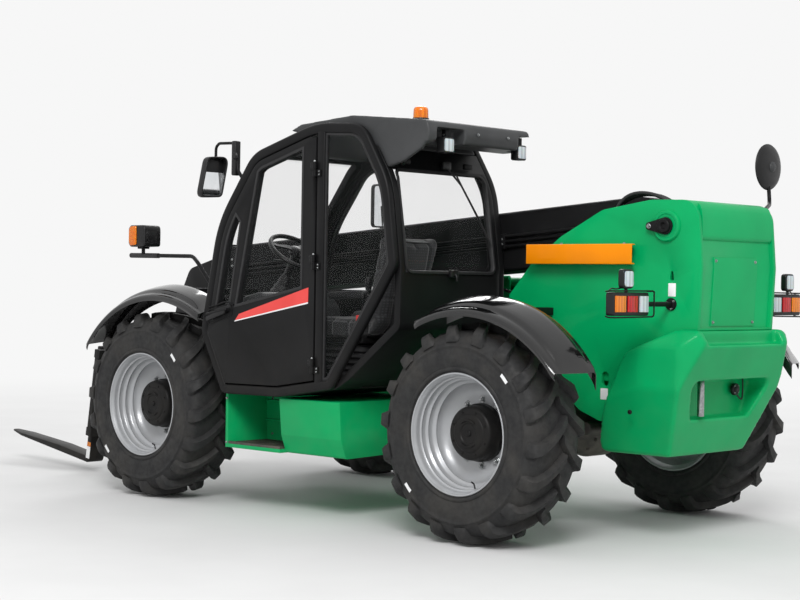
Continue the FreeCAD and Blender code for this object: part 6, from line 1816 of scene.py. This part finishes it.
def stage():
    low, high = CAD_BOX
    middle = (low + high) / 2
    made, tree, shader = start_material("pale_floor", Roughness=0.85)
    places = add(tree, "ShaderNodeTexCoord")
    tree.links.new(blend(tree, spread(tree, blotches(tree, places, 900), 0, 1), "#DADADA", "#D6D6D6"),
                   shader.inputs["Base Color"])
    # far from the machine the floor fades into the white surrounding, for whoever looks at it
    centre = add(tree, "ShaderNodeVectorMath", {1: (middle.x, middle.y, low.z)}, {0: places.outputs["Object"]},
                 operation="DISTANCE").outputs["Value"]
    far = add(tree, "ShaderNodeMapRange", {"From Min": 3.5, "From Max": 14.0}, {"Value": centre},
              interpolation_type="SMOOTHSTEP").outputs["Result"]
    path = add(tree, "ShaderNodeLightPath")
    seen = add(tree, "ShaderNodeMath", links={0: path.outputs["Is Camera Ray"], 1: path.outputs["Is Transmission Ray"]},
               operation="MAXIMUM").outputs[0]
    seen = add(tree, "ShaderNodeMath", links={0: seen, 1: path.outputs["Is Glossy Ray"]}, operation="MAXIMUM").outputs[0]
    share = add(tree, "ShaderNodeMath", links={0: far, 1: seen}, operation="MULTIPLY").outputs[0]
    white = add(tree, "ShaderNodeEmission", {"Color": (1, 1, 1, 1), "Strength": 0.93})
    mixed = add(tree, "ShaderNodeMixShader", links={0: share, 1: shader.outputs["BSDF"], 2: white.outputs["Emission"]})
    exit_node = next(node for node in tree.nodes if node.type == "OUTPUT_MATERIAL")
    tree.links.new(mixed.outputs["Shader"], exit_node.inputs["Surface"])
    shape = bmesh.new()
    bmesh.ops.create_circle(shape, cap_ends=True, segments=96, radius=60)
    bmesh.ops.translate(shape, vec=(middle.x, middle.y, low.z - 0.001), verts=shape.verts)
    mesh = bpy.data.meshes.new("floor")
    shape.to_mesh(mesh)
    shape.free()
    mesh.materials.append(made)
    floor = bpy.data.objects.new("floor", mesh)
    bpy.context.scene.collection.objects.link(floor)

    world = bpy.data.worlds.new("pale_studio")
    world.use_nodes = True
    bpy.context.scene.world = world
    tree = world.node_tree
    tree.nodes.clear()
    path = add(tree, "ShaderNodeLightPath")
    seen = add(tree, "ShaderNodeMath", links={0: path.outputs["Is Camera Ray"], 1: path.outputs["Is Transmission Ray"]},
               operation="MAXIMUM").outputs[0]
    seen = add(tree, "ShaderNodeMath", links={0: seen, 1: path.outputs["Is Glossy Ray"]}, operation="MAXIMUM").outputs[0]
    places = add(tree, "ShaderNodeTexCoord")
    up = add(tree, "ShaderNodeSeparateXYZ", links={"Vector": places.outputs["Generated"]}).outputs["Z"]
    height = add(tree, "ShaderNodeMapRange", {"From Min": -0.1, "From Max": 0.75, "To Min": 0.42, "To Max": 0.90},
                 {"Value": up}).outputs["Result"]
    strength = add(tree, "ShaderNodeMix", {"B": 0.93}, {"Factor": seen, "A": height}).outputs["Result"]
    sky = add(tree, "ShaderNodeBackground", {"Color": (1, 1, 1, 1)}, {"Strength": strength})
    add(tree, "ShaderNodeOutputWorld", links={"Surface": sky.outputs["Background"]})

    for name, place, power, size in (("key_light", (-9, 10, 9), 1500, 5.0), ("rim_light", (7, -9, 8), 420, 5.0)):
        light = bpy.data.lights.new(name, "AREA")
        light.energy = power
        light.size = size
        lamp = bpy.data.objects.new(name, light)
        lamp.location = middle + Vector(place)
        lamp.rotation_euler = (middle - lamp.location).to_track_quat("-Z", "Y").to_euler()
        bpy.context.scene.collection.objects.link(lamp)

    camera = bpy.data.cameras.new("camera")
    camera.lens = 75.83
    camera.sensor_width = 36
    camera.clip_end = 200
    shot = bpy.data.objects.new("camera", camera)
    yaw, pitch, roll = (math.radians(a) for a in (-46.424, -0.491, 0.883))
    ahead = Vector((math.cos(pitch) * math.cos(yaw), math.cos(pitch) * math.sin(yaw), math.sin(pitch)))
    right = ahead.cross(Vector((0, 0, 1))).normalized()
    up = right.cross(ahead)
    columns = (right * math.cos(roll) + up * math.sin(roll), up * math.cos(roll) - right * math.sin(roll), -ahead)
    shot.matrix_world = Matrix.LocRotScale(spot(-5.922, 7.853, 1.376), Matrix(columns).transposed(), None)
    bpy.context.scene.collection.objects.link(shot)
    bpy.context.scene.camera = shot
    bpy.context.scene.view_settings.view_transform = "Standard"


def plain_nodes():
    for name, nodes in PLAIN.items():
        for node in nodes:
            dress(node, name)
    for pieces in (SHEET_METAL, MOULDED):
        for piece, node, name, *rest in pieces:
            dress(node, name)
    for name in WHEELS:
        dress(f"tyre_{name}", "tyre")
        dress(f"rim_{name}", "silver")


# The add-on: settings, one operator for each group of pieces, and a panel.

class TelehandlerColours(bpy.types.PropertyGroup):
    body_green: FloatVectorProperty(
        name="Body green", description="Enamel of the tower, frame, hood and counterweight",
        default=linear("#00A45F")[:3], subtype="COLOR", size=3, min=0, max=1)
    wheel_silver: FloatVectorProperty(
        name="Wheel silver", description="Enamel of the four rims",
        default=linear("#ABADB0")[:3], subtype="COLOR", size=3, min=0, max=1)
    prop_orange: FloatVectorProperty(
        name="Prop orange", description="Enamel of the boom's safety prop",
        default=linear("#F78F00")[:3], subtype="COLOR", size=3, min=0, max=1)


class TelehandlerSizes(bpy.types.PropertyGroup):
    tyre_lugs: IntProperty(
        name="Tyre lugs", description="Bars on each half of a tyre's tread", default=18, min=12, max=28)
    hub_bolts: IntProperty(
        name="Hub bolts", description="Nuts that hold each rim on its hub", default=10, min=5, max=12)


class TELEHANDLER_OT_wheels(bpy.types.Operator):
    """Makes the four tyres, rims and hubs"""
    bl_idname = "telehandler.wheels"
    bl_label = "Wheels"

    def execute(self, context):
        for name, (distance, side) in WHEELS.items():
            wheel(name, distance, side)
        return {"FINISHED"}


class TELEHANDLER_OT_panels(bpy.types.Operator):
    """Gives the sheet metal and the castings their real edges"""
    bl_idname = "telehandler.panels"
    bl_label = "Panels and castings"

    def execute(self, context):
        sheet_metal()
        castings()
        return {"FINISHED"}


class TELEHANDLER_OT_plain(bpy.types.Operator):
    """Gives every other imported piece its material"""
    bl_idname = "telehandler.plain"
    bl_label = "Materials of the packed pieces"

    def execute(self, context):
        plain_nodes()
        return {"FINISHED"}


class TELEHANDLER_OT_stage(bpy.types.Operator):
    """Adds the floor, the surrounding, the lights and the camera"""
    bl_idname = "telehandler.stage"
    bl_label = "Stage"

    def execute(self, context):
        stage()
        return {"FINISHED"}


class TELEHANDLER_OT_cab(bpy.types.Operator):
    """Adds the cab's side tubes, seals, door fittings and roof fittings"""
    bl_idname = "telehandler.cab"
    bl_label = "Cab"

    def execute(self, context):
        side_frame()
        seals()
        door_fittings()
        roof_fittings()
        return {"FINISHED"}


class TELEHANDLER_OT_lamps(bpy.types.Operator):
    """Adds the lamps and mirrors"""
    bl_idname = "telehandler.lamps"
    bl_label = "Lamps and mirrors"

    def execute(self, context):
        rear_lamp_sets()
        front_lamp()
        mirrors()
        return {"FINISHED"}


class TELEHANDLER_OT_rear_end(bpy.types.Operator):
    """Adds the fenders, the ballast casting and the tower's fittings"""
    bl_idname = "telehandler.rear_end"
    bl_label = "Fenders, ballast and tower"

    def execute(self, context):
        fenders()
        ballast()
        pivot_pin()
        tower_fittings()
        tower_hoses()
        return {"FINISHED"}


class TELEHANDLER_OT_boom(bpy.types.Operator):
    """Adds the boom's pipes and screws, the fork carriage's fittings and the cylinders' glands"""
    bl_idname = "telehandler.boom"
    bl_label = "Boom and carriage"

    def execute(self, context):
        boom_fittings()
        carriage_fittings()
        cylinder_fittings()
        return {"FINISHED"}


class TELEHANDLER_OT_driver_place(bpy.types.Operator):
    """Adds the dashboard, the steering wheel and the seat"""
    bl_idname = "telehandler.driver_place"
    bl_label = "Driver's place"

    def execute(self, context):
        driver_place()
        seat()
        return {"FINISHED"}


class TELEHANDLER_OT_sides(bpy.types.Operator):
    """Adds the engine and the fittings of the cab's back, the steps, the hood and the axles"""
    bl_idname = "telehandler.sides"
    bl_label = "Steps, hood, engine and axles"

    def execute(self, context):
        cab_back()
        steps()
        hood()
        engine()
        undercarriage()
        return {"FINISHED"}


OPERATORS = (TELEHANDLER_OT_stage, TELEHANDLER_OT_plain, TELEHANDLER_OT_panels, TELEHANDLER_OT_wheels,
             TELEHANDLER_OT_cab, TELEHANDLER_OT_lamps, TELEHANDLER_OT_rear_end, TELEHANDLER_OT_boom,
             TELEHANDLER_OT_driver_place, TELEHANDLER_OT_sides)


class TELEHANDLER_PT_main(bpy.types.Panel):
    """Lists the telehandler's settings and steps"""
    bl_label = "Telehandler"
    bl_space_type = "VIEW_3D"
    bl_region_type = "UI"
    bl_category = "Telehandler"

    def draw(self, context):
        for settings in (context.scene.telehandler_colours, context.scene.telehandler_sizes):
            for key in settings.__annotations__:
                self.layout.prop(settings, key)
        for operator in OPERATORS:
            self.layout.operator(operator.bl_idname)


CLASSES = (TelehandlerColours, TelehandlerSizes) + OPERATORS + (TELEHANDLER_PT_main,)


def register():
    for each in CLASSES:
        bpy.utils.register_class(each)
    bpy.types.Scene.telehandler_colours = PointerProperty(type=TelehandlerColours)
    bpy.types.Scene.telehandler_sizes = PointerProperty(type=TelehandlerSizes)


def unregister():
    del bpy.types.Scene.telehandler_sizes
    del bpy.types.Scene.telehandler_colours
    for each in reversed(CLASSES):
        bpy.utils.unregister_class(each)


def main():
    register()
    for operator in OPERATORS:
        group, name = operator.bl_idname.split(".")
        getattr(getattr(bpy.ops, group), name)()


if __name__ == "__main__":
    main()
